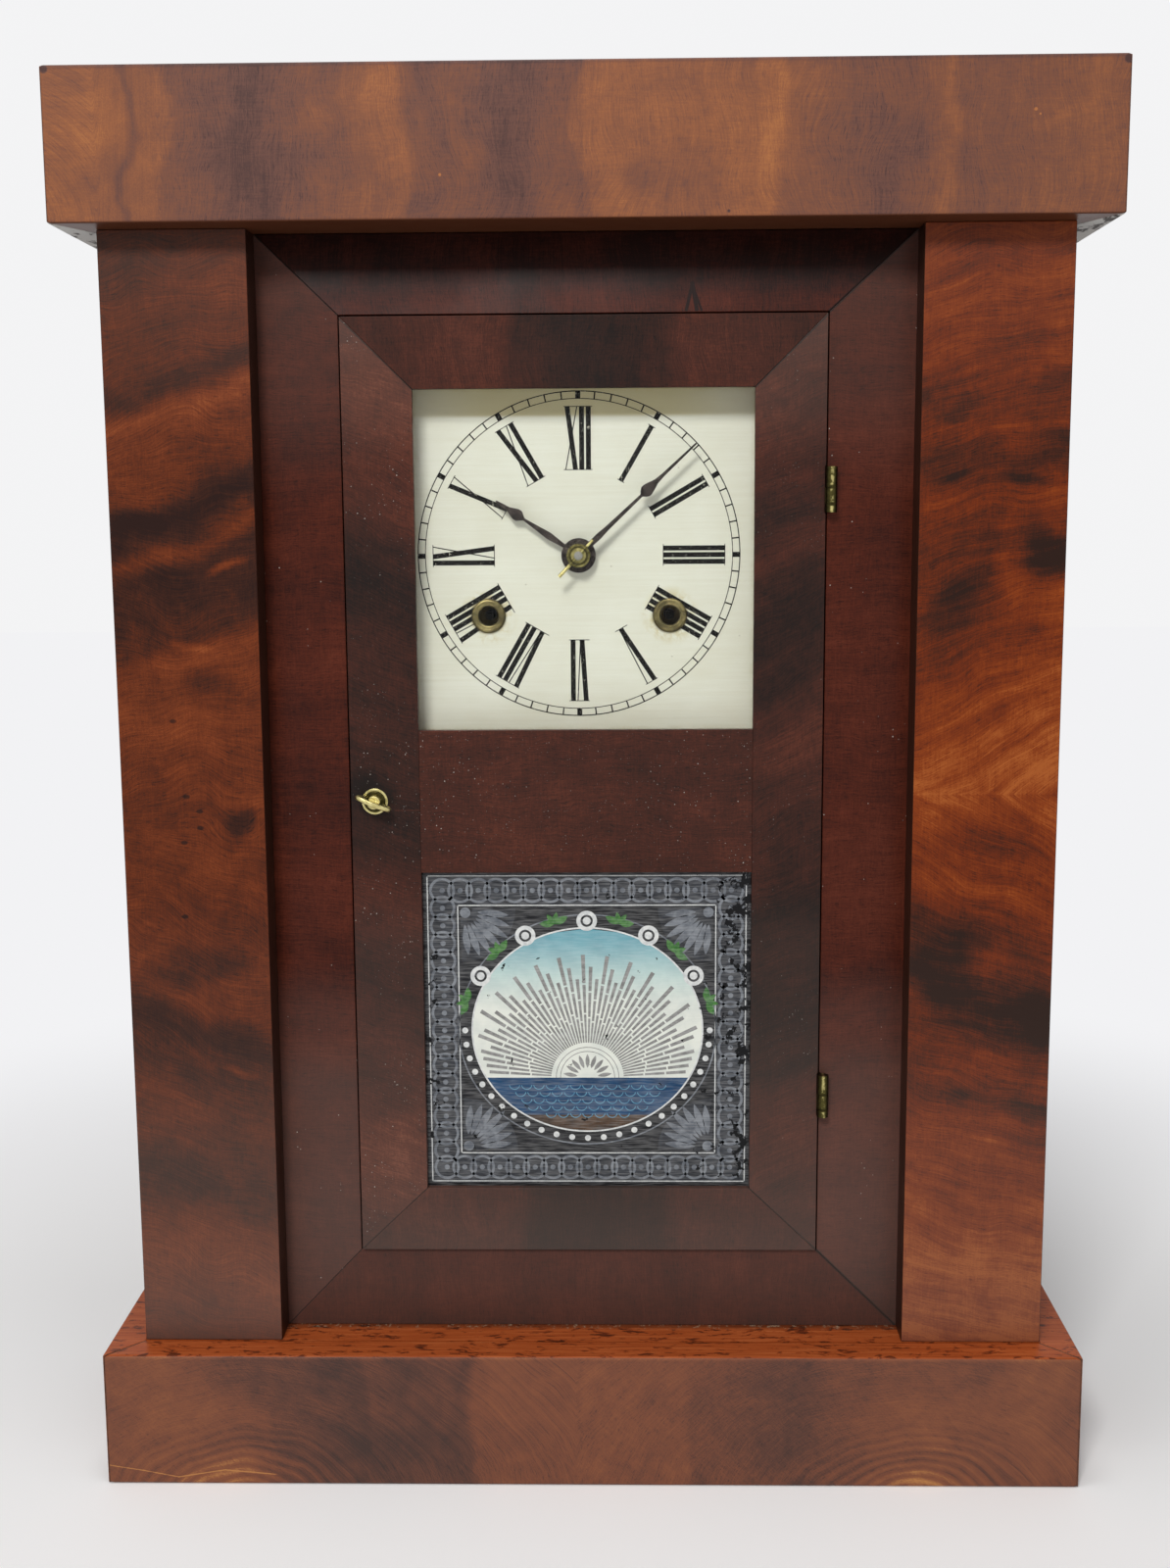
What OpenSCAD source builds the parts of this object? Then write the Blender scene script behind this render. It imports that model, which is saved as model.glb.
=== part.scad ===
// Empire shelf clock: a veneered mahogany case with a mitred door, a painted dial
// and a weight-driven time and strike movement of brass.
// The front faces -Y, up is +Z, and the origin is at the middle of the base's footprint.

/* [Case] */
// Height of the crown box
crown_h = 67; // [60:1:80]
// How far the crown stands out in front of the pilasters
crown_lip = 17; // [13:1:22]
// How far the crown stands out beyond the case at each side
crown_side = 17; // [12:1:22]
// Width of the base box
base_w = 476; // [440:1:520]
// How far the base stands out beyond the case at each side
base_side = 17; // [12:1:22]
// Height of the base box
base_h = 67; // [60:1:80]
// How far the base stands out in front of the pilasters
base_lip = 17; // [13:1:22]
// Height of the pilasters between base and crown
pilaster_h = 533; // [528:1:545]
// Width of each pilaster
pilaster_w = 68; // [62:1:70]
// Thickness of each pilaster
pilaster_t = 18; // [16:0.5:20]
// Depth of the case behind the front of the pilasters
case_d = 120; // [118:1:130]
// Thickness of the side boards
side_t = 14; // [10:0.5:15]
// Thickness of the back board
back_t = 8; // [6:0.5:8]
// Thickness of the boards that close the base and the crown
lid_t = 12; // [8:0.5:16]

/* [Door frame] */
// Depth of the sloped frame's outer edge behind the pilasters' front
frame_outer_y = 18; // [18:0.5:20]
// Depth of the sloped frame's inner edge behind the pilasters' front
frame_inner_y = 12.5; // [12:0.5:15]
// Depth of the sloped frame's back behind the pilasters' front
frame_back_y = 34; // [32:0.5:34]
// How far the frame's stiles reach behind the pilasters
frame_tail = 22; // [15:1:30]

/* [Door] */
// Sideways shift of the door from the middle of the case
door_x = -1; // [-2:0.5:1]
// Width of the door
door_w = 225; // [221:1:228]
// Height of the bottom of the door above the top of the base
door_rise = 43; // [38:1:48]
// Height of the door
door_h = 452; // [449:1:455]
// Depth of the door's face behind the pilasters' front
door_y = 10.3; // [10:0.1:11]
// Thickness of the door
door_t = 16.7; // [16:0.1:17.5]
// Gap all round the door
door_gap = 0.8; // [0.6:0.1:1.2]
// Bevel of the door's closing edge
door_bevel = 1.6; // [1.2:0.1:2.5]
// Width of both glazed openings
opening_w = 159; // [156:1:162]
// Height of both glazed openings
opening_h = 159; // [156:1:162]
// Height of the wide rail between the two openings
mid_rail_h = 69; // [64:1:74]
// Height of the door's bottom rail
bottom_rail_h = 32; // [28:1:36]
// Thickness of the lip in front of each glass
lip_t = 4; // [3:0.5:5]
// Width of the rabbet that holds each glass
rabbet_w = 6; // [5:0.5:8]
// Thickness of each glass
glass_t = 2; // [1.5:0.1:2.2]
// Thickness of the slips that hold each glass
slip_t = 5; // [4:0.5:6]

/* [Hinges and latch] */
// Radius of the hinge barrels
knuckle_r = 2.7; // [2.5:0.1:2.8]
// Height of each hinge
hinge_h = 21; // [18:0.5:26]
// Height of the lower hinge's middle above the base
lower_hinge_z = 190; // [170:1:210]
// Height of the upper hinge's middle above the base
upper_hinge_z = 482; // [460:1:500]
// Thickness of the hinge leaves
leaf_t = 0.8; // [0.6:0.1:0.9]
// Depth of the hinge leaves
leaf_d = 14; // [10:1:15]
// Radius of the hinge pins
hinge_pin_r = 1.1; // [0.9:0.1:1.4]
// Height of the latch above the floor
latch_z = 336; // [326:1:346]
// Distance of the latch from the door's closing edge
latch_in = 11.5; // [11:0.5:14]
// Radius of the latch's round plate
rose_r = 6.3; // [5:0.1:8]
// Length of the latch's oval turn
turn_l = 18.5; // [14:0.5:22]
// Tilt of the oval turn below level
turn_tilt = 22; // [0:1:30]
// Length of the catch behind the door
catch_l = 21; // [19:0.5:23]

/* [Dial and hands] */
// Sideways shift of the movement from the middle of the case
dial_x = -4; // [-6:0.5:-2]
// Height of the hands' arbor above the floor
dial_z = 452; // [450:0.5:454]
// Depth of the dial's face behind the pilasters' front
dial_y = 29; // [28.5:0.1:29.5]
// Thickness of the dial
dial_t = 1.2; // [1:0.1:2]
// Width and height of the dial
dial_w = 190; // [184:1:196]
// Radius of the ring of minutes
ring_r = 77; // [74:0.5:78]
// Radius of the brass rings in the winding holes
grommet_r = 8.2; // [7.5:0.1:9]
// Radius of the winding holes
wind_hole_r = 4.6; // [4.2:0.1:5.2]
// Length of the minute hand
minute_hand_l = 76.5; // [70:0.5:77]
// Length of the hour hand
hour_hand_l = 47; // [42:0.5:52]
// Clockwise angle of the minute hand from twelve
minute_angle = 47; // [0:1:359]
// Clockwise angle of the hour hand from twelve
hour_angle = 303.5; // [0:0.5:359]

/* [Movement] */
// Half the distance between the two winding arbors
wind_dx = 43.6; // [42:0.1:45]
// Drop of the winding arbors below the hands' arbor
wind_dz = 28.8; // [27:0.1:30]
// Half width of the plates
plate_hw = 74; // [70:1:76]
// Height of the plates above the hands' arbor
plate_up = 62; // [60:1:66]
// Reach of the plates below the hands' arbor
plate_down = 90; // [88:1:96]
// Thickness of the plates
plate_t = 2; // [1.5:0.1:2.5]
// Depth of the front plate's face behind the pilasters' front
plates_y = 50; // [49.5:0.5:51]
// Gap between the plates
plates_gap = 46; // [44:0.5:46]
// Radius of the turned arbors
arbor_r = 1; // [0.8:0.1:1.1]
// Radius of the pivots
pivot_r = 0.7; // [0.5:0.1:0.75]
// Running clearance of a shaft in its hole
running_fit = 0.06; // [0.04:0.01:0.09]
// Module of the great wheels
great_module = 0.9; // [0.88:0.01:0.91]
// Module of the wheels that turn the hands' arbor
centre_module = 0.8; // [0.78:0.01:0.82]
// Module of the fast wheels of both trains
train_module = 0.6; // [0.58:0.01:0.61]
// Module of the first pair of motion wheels
motion_module = 0.75; // [0.73:0.01:0.77]
// Thickness of the wheels
wheel_t = 1.5; // [1.2:0.1:1.8]
// Radius of the escape wheel
escape_r = 16; // [15:0.25:17]
// Height of the pallet arbor above the escape wheel's arbor
verge_rise = 23; // [22.5:0.1:24]
// Length of the pendulum from its pivot to the middle of the bob
pendulum_l = 248; // [230:1:260]
// Radius of the bob
bob_r = 24; // [20:0.5:27]
// Thickness of the bob
bob_t = 9; // [7:0.5:10]

/* [Weights and cords] */
// Radius of the weights
weight_r = 27; // [24:0.5:28]
// Height of the weights' iron
weight_h = 140; // [120:1:160]
// Depth of the cords behind the pilasters' front
cord_y = 75; // [74:0.5:76]
// Diameter of the cords
cord_d = 2; // [1.5:0.1:2.2]
// Radius of the drums
drum_r = 14; // [12:0.5:14.5]
// Radius of the pulleys in their grooves
pulley_r = 14; // [12:0.5:15]
// Gap between each weight and its side board
weight_gap = 4; // [3:0.5:6]
// Gap between each weight and the strip that carries the dial
strip_gap = 20; // [15:1:24]
// Height of the pulleys' axles above the underside of the crown
pulley_rise = 31; // [28:0.5:33]
// Turns of cord left on each drum
drum_turns = 2; // [1:1:3]

/* [Gong] */
// Outer radius of the spiral gong
gong_r = 42; // [38:0.5:44]
// Step between the gong's turns
gong_step = 5.5; // [5:0.5:6]
// Radius of the gong's wire
gong_wire = 1.2; // [1:0.1:1.4]
// Half turns in the gong
gong_halves = 8; // [6:1:9]
// Height of the gong's middle above the floor
gong_z = 190; // [180:1:200]

/* [Hidden] */
$fn = 64;

// Levels and depths of the case
front_y = base_lip - (case_d + base_lip) / 2;
back_y = front_y + case_d;
case_w = base_w - 2 * base_side;
crown_w = case_w + 2 * crown_side;
crown_z = base_h + pilaster_h;
top_z = crown_z + crown_h;
pilaster_x = case_w / 2 - pilaster_w;
lap = 0.01;

// The door and its openings
door_z = base_h + door_rise;
door_top = door_z + door_h;
hole_l = door_x - door_w / 2 - door_gap;
hole_r = door_x + door_w / 2 + door_gap;
hole_b = door_z - door_gap;
hole_t = door_top + door_gap;
open_l = door_x - opening_w / 2;
open_r = door_x + opening_w / 2;
lower_b = door_z + bottom_rail_h;
lower_t = lower_b + opening_h;
upper_b = lower_t + mid_rail_h;
upper_t = upper_b + opening_h;
seat_y = door_y + lip_t;
door_back = door_y + door_t;
glass_fit = 0.3;

// The hinges
hinge_x = door_x + door_w / 2 + door_gap + 1.6;
hinge_y = door_y - 1;
hinge_relief = 0.3;
hinge_zs = [lower_hinge_z, upper_hinge_z];
knuckle_split = [0.18, 0.55];
leaf_gap = 0.45;
knuckle_neck = 4;

// The latch
latch_x = door_x - door_w / 2 + latch_in;
spindle_r = 2.2;
rose_t = 2;
rose_step = 1.4;
turn_t = 1.8;
turn_clip = 1.5;
collar_r = 3.2;
collar_l = 3;
catch_w = 5;
catch_t = 2;
catch_gap = 0.5;
turn_out = 9;

// The trains: teeth of the wheels and leaves of the pinions
great_teeth = 75;
great_leaves = 7;
centre_teeth = 32;
train_teeth = 60;
third_leaves = 7;
escape_leaves = 6;
escape_teeth = 42;
cannon_leaves = 12;
motion_teeth = 36;
motion_leaves = 10;
hour_teeth = 40;
count_teeth = 42;
lift_pins = 13;
pin_circle = 15;
lift_pin_r = 0.7;

// Arbor places in the plates, from the hands' arbor, as [x, z]
function polar(r, a) = [r * cos(a), r * sin(a)];
function span(p, q) = norm(q - p);
function heading(p, q) = atan2(q[1] - p[1], q[0] - p[0]);
function meet(p, q, rp, rq) =
    let (c = span(p, q), d = (c * c + rp * rp - rq * rq) / (2 * c), h = sqrt(rp * rp - d * d),
        u = (q - p) / c)
    p + d * u + h * [-u[1], u[0]];
function flip(p) = [-p[0], p[1]];

time_at = [wind_dx, -wind_dz];
strike_at = flip(time_at);
second_at = meet([0, 0], time_at, centre_module * centre_teeth,
    great_module * (great_teeth + great_leaves) / 2);
pin_at = flip(second_at);
fast_reach = train_module * (train_teeth + third_leaves) / 2;
third_at = second_at + polar(fast_reach, 110);
fly_at = flip(third_at);
escape_reach = train_module * (train_teeth + escape_leaves) / 2;
escape_at = [0, third_at[1] + sqrt(pow(escape_reach, 2) - pow(third_at[0], 2))];
verge_at = escape_at + [0, verge_rise];
motion_reach = motion_module * (motion_teeth + cannon_leaves) / 2;
hour_module = 2 * motion_reach / (hour_teeth + motion_leaves);
motion_at = polar(motion_reach, 200);
count_at = strike_at + polar(great_module * (great_teeth + count_teeth) / 2, -68);
hammer_at = [-60, 8];
pillar_at = [[-66, 54], [66, 54], [-50, -84], [50, -84]];

// Depths of the wheels behind the pilasters' front
back_plate_y = plates_y + plate_t + plates_gap;
works_y = plates_y + plate_t;
fast_y = works_y + 4;
third_y = works_y + 10;
escape_y = works_y + 18;
great_y = works_y + 34;
centre_y = works_y + 41;
hammer_y = works_y + 42;
cannon_y = plates_y - 8;
hour_y = plates_y - 12;
crutch_y = plates_y - 2.5;
rod_y = plates_y - 4.2;
shake = 0.2;
pinion_l = 6;
hub_r = 2.4;
hub_l = 3;
rod_r = 0.9;

// The drums, pulleys and cords
weight_x = case_w / 2 - side_t - weight_gap - weight_r;
drum_front = 10;
drum_rear = 8;
flange = 4;
flange_t = 1.2;
cord_lift = 0.3;
saw_r = 12;
drum_cord_r = drum_r + cord_lift + cord_d / 2;
pulley_cord_r = pulley_r + cord_lift + cord_d / 2;
pulley_z = crown_z + pulley_rise;
pulley_x = weight_x - pulley_cord_r;
pulley_half = cord_d / 2 + 1.2;
pulley_rim = 3;
axle_r = 1.5;
wind_pitch = cord_d + 0.6;
weight_rest = 0.3;
eye_r = 4;
weight_top = base_h + weight_rest + weight_h;
eye_wire = 1;
stem_l = 10;
eye_top = weight_top + stem_l + 2 * eye_r;

// The hands' arbor
centre_arbor_r = 2.5;
centre_tip_r = 2;
tip_y = 17.2;
minute_y = 20.6;
hand_t = 0.8;
hour_hand_y = 24.2;
pipe_r = 4;
pin_y = 18.7;
taper_pin_tilt = 43;
taper_pin_low = 13.5;
taper_pin_l = 23.5;
taper_pin_r = 0.9;
collet_r = 5.6;
collet_t = 0.9;
minute_boss_r = 4;
hour_boss_r = 8.2;
motion_t = 2;

function deep(y) = front_y + y;

// A box between two corners, with its depths behind the pilasters' front
module block(x0, x1, y0, y1, z0, z1) {
    translate([x0, deep(y0), z0]) cube([x1 - x0, y1 - y0, z1 - z0]);
}

// A drawing in the front view, given thickness behind depth y
module slab(y, t) {
    translate([0, deep(y + t), 0]) rotate([90, 0, 0]) linear_extrude(t) children();
}

// A round bar along the depth
module bar(p, r, y0, y1) {
    translate([p[0], deep(y1), p[1]]) rotate([90, 0, 0]) cylinder(h = y1 - y0, r = r);
}

// Both sides of the case
module pair() {
    children();
    mirror([1, 0, 0]) children();
}

// Places a piece of the movement by the hands' arbor
module movement() {
    translate([dial_x, 0, dial_z]) children();
}

// Case boards

module base_front() {
    color("sienna") linear_extrude(base_h) polygon([
        [-base_w / 2, deep(-base_lip)], [base_w / 2, deep(-base_lip)],
        [case_w / 2, front_y], [-case_w / 2, front_y]]);
}

module base_returns() {
    color("saddlebrown") pair() linear_extrude(base_h) polygon([
        [base_w / 2, deep(-base_lip)], [base_w / 2, back_y],
        [case_w / 2, back_y], [case_w / 2, front_y]]);
}

module base_top() {
    half = case_w / 2;
    inner = half - side_t;
    color("peru") translate([0, 0, base_h - lid_t]) linear_extrude(lid_t) polygon([
        [-half, front_y], [half, front_y], [half, deep(pilaster_t)],
        [inner, deep(pilaster_t)], [inner, deep(case_d - back_t)],
        [-inner, deep(case_d - back_t)], [-inner, deep(pilaster_t)], [-half, deep(pilaster_t)]]);
}

module side_boards() {
    color("tan") pair()
        block(case_w / 2 - side_t, case_w / 2, pilaster_t, case_d, 0, top_z - lid_t);
}

module back_board() {
    half = case_w / 2 - side_t;
    color("burlywood") block(-half, half, case_d - back_t, case_d, 0, top_z - lid_t);
}

module crown_front() {
    color("sienna") translate([0, 0, crown_z]) linear_extrude(crown_h) polygon([
        [-crown_w / 2, deep(-crown_lip)], [crown_w / 2, deep(-crown_lip)],
        [case_w / 2, deep(pilaster_t)], [-case_w / 2, deep(pilaster_t)]]);
}

module crown_returns() {
    color("saddlebrown") pair() translate([0, 0, crown_z]) linear_extrude(crown_h) polygon([
        [crown_w / 2, deep(-crown_lip)], [crown_w / 2, back_y],
        [case_w / 2, back_y], [case_w / 2, deep(pilaster_t)]]);
}

module crown_top() {
    color("tan") block(-case_w / 2, case_w / 2, pilaster_t, case_d, top_z - lid_t, top_z);
}

module left_pilaster() {
    color("brown") block(-case_w / 2, -pilaster_x, 0, pilaster_t, base_h, crown_z);
}

module right_pilaster() {
    color("chocolate") block(pilaster_x, case_w / 2, 0, pilaster_t, base_h, crown_z);
}

// Sloped frame round the door

module stile_profile(inner, outer, tail) {
    polygon([[inner, deep(frame_inner_y)], [outer, deep(frame_outer_y)],
        [tail, deep(frame_outer_y)], [tail, deep(frame_back_y)], [inner, deep(frame_back_y)]]);
}

module stile_mitre(inner, outer, tail) {
    slab(0, case_d) polygon([[inner, hole_b], [outer, base_h], [tail, base_h],
        [tail, crown_z], [outer, crown_z], [inner, hole_t]]);
}

module frame_stile(inner, outer, tail) {
    intersection() {
        translate([0, 0, base_h]) linear_extrude(pilaster_h) stile_profile(inner, outer, tail);
        stile_mitre(inner, outer, tail);
    }
}

module hinge_notch(z) {
    r = knuckle_r + hinge_relief;
    translate([hinge_x, deep(hinge_y), z - hinge_h / 2 - hinge_relief])
        cylinder(h = hinge_h + 2 * hinge_relief, r = r);
}

module frame_stiles() {
    color("maroon") {
        frame_stile(hole_l, -pilaster_x, -pilaster_x - frame_tail);
        difference() {
            frame_stile(hole_r, pilaster_x, pilaster_x + frame_tail);
            for (z = hinge_zs) {
                hinge_notch(z);
                block(hole_r - 1, hole_r + leaf_t, door_y, door_y + leaf_d,
                    z - hinge_h / 2, z + hinge_h / 2);
            }
        }
    }
}

// One rail of the frame between its edge at the door and its outer edge
module frame_rail(inner_z, outer_z) {
    intersection() {
        translate([-case_w / 2, 0, 0]) rotate([90, 0, 90]) linear_extrude(case_w) polygon([
            [deep(frame_inner_y), inner_z], [deep(frame_outer_y), outer_z],
            [deep(frame_back_y), outer_z], [deep(frame_back_y), inner_z]]);
        slab(0, case_d) polygon([[hole_l, inner_z], [hole_r, inner_z],
            [pilaster_x, outer_z], [-pilaster_x, outer_z]]);
    }
}

module frame_rails() {
    color("maroon") {
        frame_rail(hole_b, base_h);
        frame_rail(hole_t, crown_z);
    }
}

// Strips behind the frame that carry the dial, and cross battens that carry the movement
module inner_battens() {
    dial_hold = 9;
    strip_in = dial_w / 2 - dial_hold;
    strip_out = weight_x - weight_r - strip_gap;
    strip_z = dial_z - dial_w / 2 + 4;
    strip_back = frame_back_y + 10;
    clear = 0.6;
    batten_h = 20;
    batten_in = 4;
    color("burlywood") {
        difference() {
            pair() block(strip_in, strip_out, dial_y + dial_t, strip_back, strip_z, crown_z);
            block(-strip_out - 1, hole_l + clear, dial_y, frame_back_y, strip_z - 1, crown_z + 1);
            block(hole_r - clear, strip_out + 1, dial_y, frame_back_y, strip_z - 1, crown_z + 1);
            block(-strip_out - 1, strip_out + 1, dial_y, frame_back_y, hole_t - clear, crown_z + 1);
        }
        for (z = [dial_z - plate_down + batten_in, dial_z + plate_up - batten_in - batten_h])
            block(dial_x - plate_hw, dial_x + plate_hw,
                back_plate_y + plate_t, case_d - back_t, z, z + batten_h);
    }
}

// Dial

grommet_t = 1.2;
grommet_out = 1;

module dial_plate() {
    pipe_room = 1.5;
    color("ivory") difference() {
        slab(dial_y, dial_t) translate([dial_x, dial_z]) square(dial_w, center = true);
        bar([dial_x, dial_z], pipe_r + pipe_room, dial_y - 1, dial_y + dial_t + 1);
        for (p = [time_at, strike_at])
            bar([dial_x, dial_z] + p, wind_hole_r + grommet_t, dial_y - 1, dial_y + dial_t + 1);
    }
}

module dial_grommets() {
    color("goldenrod") movement() for (p = [time_at, strike_at]) difference() {
        union() {
            bar(p, grommet_r, dial_y - grommet_out, dial_y);
            bar(p, wind_hole_r + grommet_t, dial_y - lap, dial_y + dial_t);
        }
        bar(p, wind_hole_r, dial_y - 2, dial_y + dial_t + 1);
    }
}

// Teeth, as outlines in the front view. The first tooth is at angle a.

function tooth_ring(n, profile, a) = [
    for (i = [0:n - 1]) for (j = [0:2 * len(profile) - 1])
        let (k = j < len(profile) ? j : 2 * len(profile) - 1 - j,
            s = j < len(profile) ? -1 : 1,
            r = profile[k][0],
            w = profile[k][1])
        polar(r, a + i * 360 / n + s * w / r * 180 / PI)];

// Wheel teeth: radial flanks below the pitch circle and a pointed tip above it
function wheel_teeth(n, m, a) =
    let (r = n * m / 2)
    tooth_ring(n, [[r - 1.45 * m, 0.70 * m * (1 - 2.9 / n)], [r, 0.70 * m],
        [r + 0.50 * m, 0.50 * m], [r + 0.95 * m, 0.15 * m]], a);

// Pinion leaves: thinner, with radial flanks and a rounded tip
function pinion_leaves(n, m, a) =
    let (r = n * m / 2)
    tooth_ring(n, [[r - 1.40 * m, 0.50 * m * (1 - 2.8 / n)], [r, 0.50 * m],
        [r + 0.30 * m, 0.42 * m], [r + 0.55 * m, 0.18 * m]], a);

// Saw teeth
function saw_teeth(n, r, depth, a) = [
    for (i = [0:n - 1]) for (j = [0:2])
        polar(r - [depth, 0, 0.12][j], a + (i + [0.1, 0.88, 1][j]) * 360 / n)];

// Angle of a gear's first tooth that meshes with a gear of n1 teeth at angle a1
function mesh_angle(a1, n1, n2, th) = th + 180 - n1 / n2 * (a1 - th) - 180 / n2;

// A spoked wheel in the front view
module wheel_outline(teeth, rim_r, hub_r, hole_r) {
    difference() {
        polygon(teeth);
        difference() {
            circle(rim_r);
            circle(hub_r);
            for (a = [45, 135]) rotate(a) square([2 * rim_r + 2, rim_r * 0.16], center = true);
        }
        circle(hole_r);
    }
}

module wheel(p, n, m, a, y, hub_r, rim = 3.6) {
    translate([p[0], 0, p[1]]) slab(y, wheel_t)
        wheel_outline(wheel_teeth(n, m, a), n * m / 2 - rim * m, hub_r, pivot_r);
}

module pinion(p, n, m, a, y, l) {
    translate([p[0], 0, p[1]]) slab(y, l) polygon(pinion_leaves(n, m, a));
}

// A turned arbor between the plates, with a pivot in each plate
module arbor(p, r) {
    bar(p, r, works_y + shake, back_plate_y - shake);
    bar(p, pivot_r, plates_y + shake, back_plate_y + plate_t - shake);
}

// First tooth angles of every wheel, in mesh at rest
great_a = 0;
to_second = heading(time_at, second_at);
second_leaf_a = mesh_angle(great_a, great_teeth, great_leaves, to_second);
to_centre = heading(second_at, [0, 0]);
centre_a = mesh_angle(0, centre_teeth, centre_teeth, to_centre);
to_third = heading(second_at, third_at);
third_leaf_a = mesh_angle(0, train_teeth, third_leaves, to_third);
to_escape = heading(third_at, escape_at);
escape_leaf_a = mesh_angle(0, train_teeth, escape_leaves, to_escape);
to_pin = heading(strike_at, pin_at);
pin_leaf_a = mesh_angle(great_a, great_teeth, great_leaves, to_pin);
to_fly = heading(pin_at, fly_at);
fly_leaf_a = mesh_angle(0, train_teeth, third_leaves, to_fly);
to_count = heading(strike_at, count_at);
count_a = mesh_angle(great_a, great_teeth, count_teeth, to_count);
to_motion = heading([0, 0], motion_at);
motion_a = mesh_angle(0, cannon_leaves, motion_teeth, to_motion);
hour_a = mesh_angle(0, motion_leaves, hour_teeth, to_motion + 180);

// Plates

// The plates are lightened by round windows between the arbors
module plate_outline() {
    small_r = 8;
    large_r = 9;
    low_in = 12;
    low_z = -50;
    middle_x = 20;
    middle_z = -58;
    high_in = 22;
    high_z = 24;
    difference() {
        translate([-plate_hw, -plate_down]) square([2 * plate_hw, plate_up + plate_down]);
        for (s = [-1, 1]) {
            translate([s * (plate_hw - low_in), low_z]) circle(small_r);
            translate([s * middle_x, middle_z]) circle(large_r);
            translate([s * (plate_hw - high_in), high_z]) circle(large_r);
        }
    }
}

module pivot_holes(y) {
    for (p = [second_at, third_at, escape_at, pin_at, fly_at, count_at, hammer_at])
        bar(p, pivot_r + running_fit, y - 1, y + plate_t + 1);
}

module front_plate() {
    stud_out = 1.5;
    color("darkgoldenrod") movement() {
        difference() {
            slab(plates_y, plate_t) plate_outline();
            pivot_holes(plates_y);
            for (p = [time_at, strike_at, [0, 0]])
                bar(p, centre_arbor_r + running_fit, plates_y - 1, works_y + 1);
            bar(verge_at, arbor_r + running_fit, plates_y - 1, works_y + 1);
        }
        bar(motion_at, arbor_r, hour_y - stud_out, plates_y + lap);
    }
}

module back_plate() {
    color("darkgoldenrod") movement() difference() {
        slab(back_plate_y, plate_t) plate_outline();
        pivot_holes(back_plate_y);
        for (p = [time_at, strike_at, [0, 0], verge_at])
            bar(p, pivot_r + running_fit, back_plate_y - 1, back_plate_y + plate_t + 1);
    }
}

module plate_pillars() {
    pillar_r = 3;
    collar_r = 3.6;
    collar_l = 3;
    color("goldenrod") movement() for (p = pillar_at) {
        bar(p, pillar_r, works_y, back_plate_y);
        bar(p, collar_r, works_y, works_y + collar_l);
        bar(p, collar_r, back_plate_y - collar_l, back_plate_y);
    }
}

// Bracket on the front plate with the pin that the pendulum hangs on
module suspension_cock() {
    cock_w = 8;
    cock_out = 3;
    foot_rise = 3.5;
    foot_t = 3;
    face_t = 1.5;
    color("goldenrod") movement() {
        translate([-cock_w / 2, deep(rod_y - cock_out), verge_at[1] + foot_rise])
            cube([cock_w, plates_y - rod_y + cock_out, foot_t]);
        translate([-cock_w / 2, deep(rod_y - cock_out), verge_at[1] - cock_out])
            cube([cock_w, face_t, cock_w]);
        bar(verge_at, arbor_r, rod_y - cock_out + 1, rod_y + 1);
    }
}

// Gong: a flat spiral of wire, each half turn a true arc about one of two centres
module gong_wire_arc(r) {
    rotate_extrude(angle = 180) translate([r, 0]) circle(gong_wire, $fn = 16);
}

module gong() {
    gong_y = hammer_y;
    color("dimgray") translate([dial_x, deep(gong_y), gong_z]) rotate([90, 0, 0])
        for (i = [0:gong_halves - 1])
            translate([i % 2 == 0 ? 0 : -gong_step / 2, 0, 0]) rotate(i % 2 == 0 ? 0 : 180)
                gong_wire_arc(gong_r - i * gong_step / 2);
}

// A point of the spiral, a share t along its half turn i
function gong_point(i, t) = [i % 2 == 0 ? 0 : -gong_step / 2, 0]
    + polar(gong_r - i * gong_step / 2, 180 * (t + i % 2));
gong_gaps = [for (i = [0:gong_halves - 3]) for (t = [0:0.1:1])
    norm(gong_point(i + 2, t) - gong_point(i, t)) - 2 * gong_wire];
echo("least gap between the gong's turns", min(gong_gaps));

// The spiral ends on this side of its middle
gong_end_r = gong_r - (gong_halves - 1) * gong_step / 2;
gong_end_x = gong_halves % 2 == 0 ? gong_end_r - gong_step / 2 : -gong_end_r;

module gong_post() {
    x = dial_x + gong_end_x;
    half = 2 * gong_wire;
    face = case_d - back_t;
    foot_r = 9;
    foot_t = 5;
    color("black") {
        block(x - half, x + half, hammer_y - half, face, gong_z, gong_z + 2 * half);
        bar([x, gong_z + half], foot_r, face - foot_t, face);
    }
}

// Hinges: the case leaf holds the pin, the door leaf turns on it

module knuckle(z0, z1) {
    difference() {
        translate([hinge_x, deep(hinge_y), z0]) cylinder(h = z1 - z0, r = knuckle_r);
        translate([hinge_x, deep(hinge_y), z0 - 1])
            cylinder(h = z1 - z0 + 2, r = hinge_pin_r + running_fit);
    }
}

// A leaf that starts clear of the barrel, joined to its own knuckle between z0 and z1
module leaf(x, zb, zt, z0, z1) {
    difference() {
        union() {
            difference() {
                block(x, x + leaf_t, hinge_y, door_y + leaf_d, zb, zt);
                translate([hinge_x, deep(hinge_y), zb - 1])
                    cylinder(h = zt - zb + 2, r = knuckle_r + hinge_relief);
            }
            block(x, x + leaf_t, hinge_y, hinge_y + knuckle_neck, z0, z1);
        }
        translate([hinge_x, deep(hinge_y), zb - 1])
            cylinder(h = zt - zb + 2, r = hinge_pin_r + running_fit);
    }
}

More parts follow.
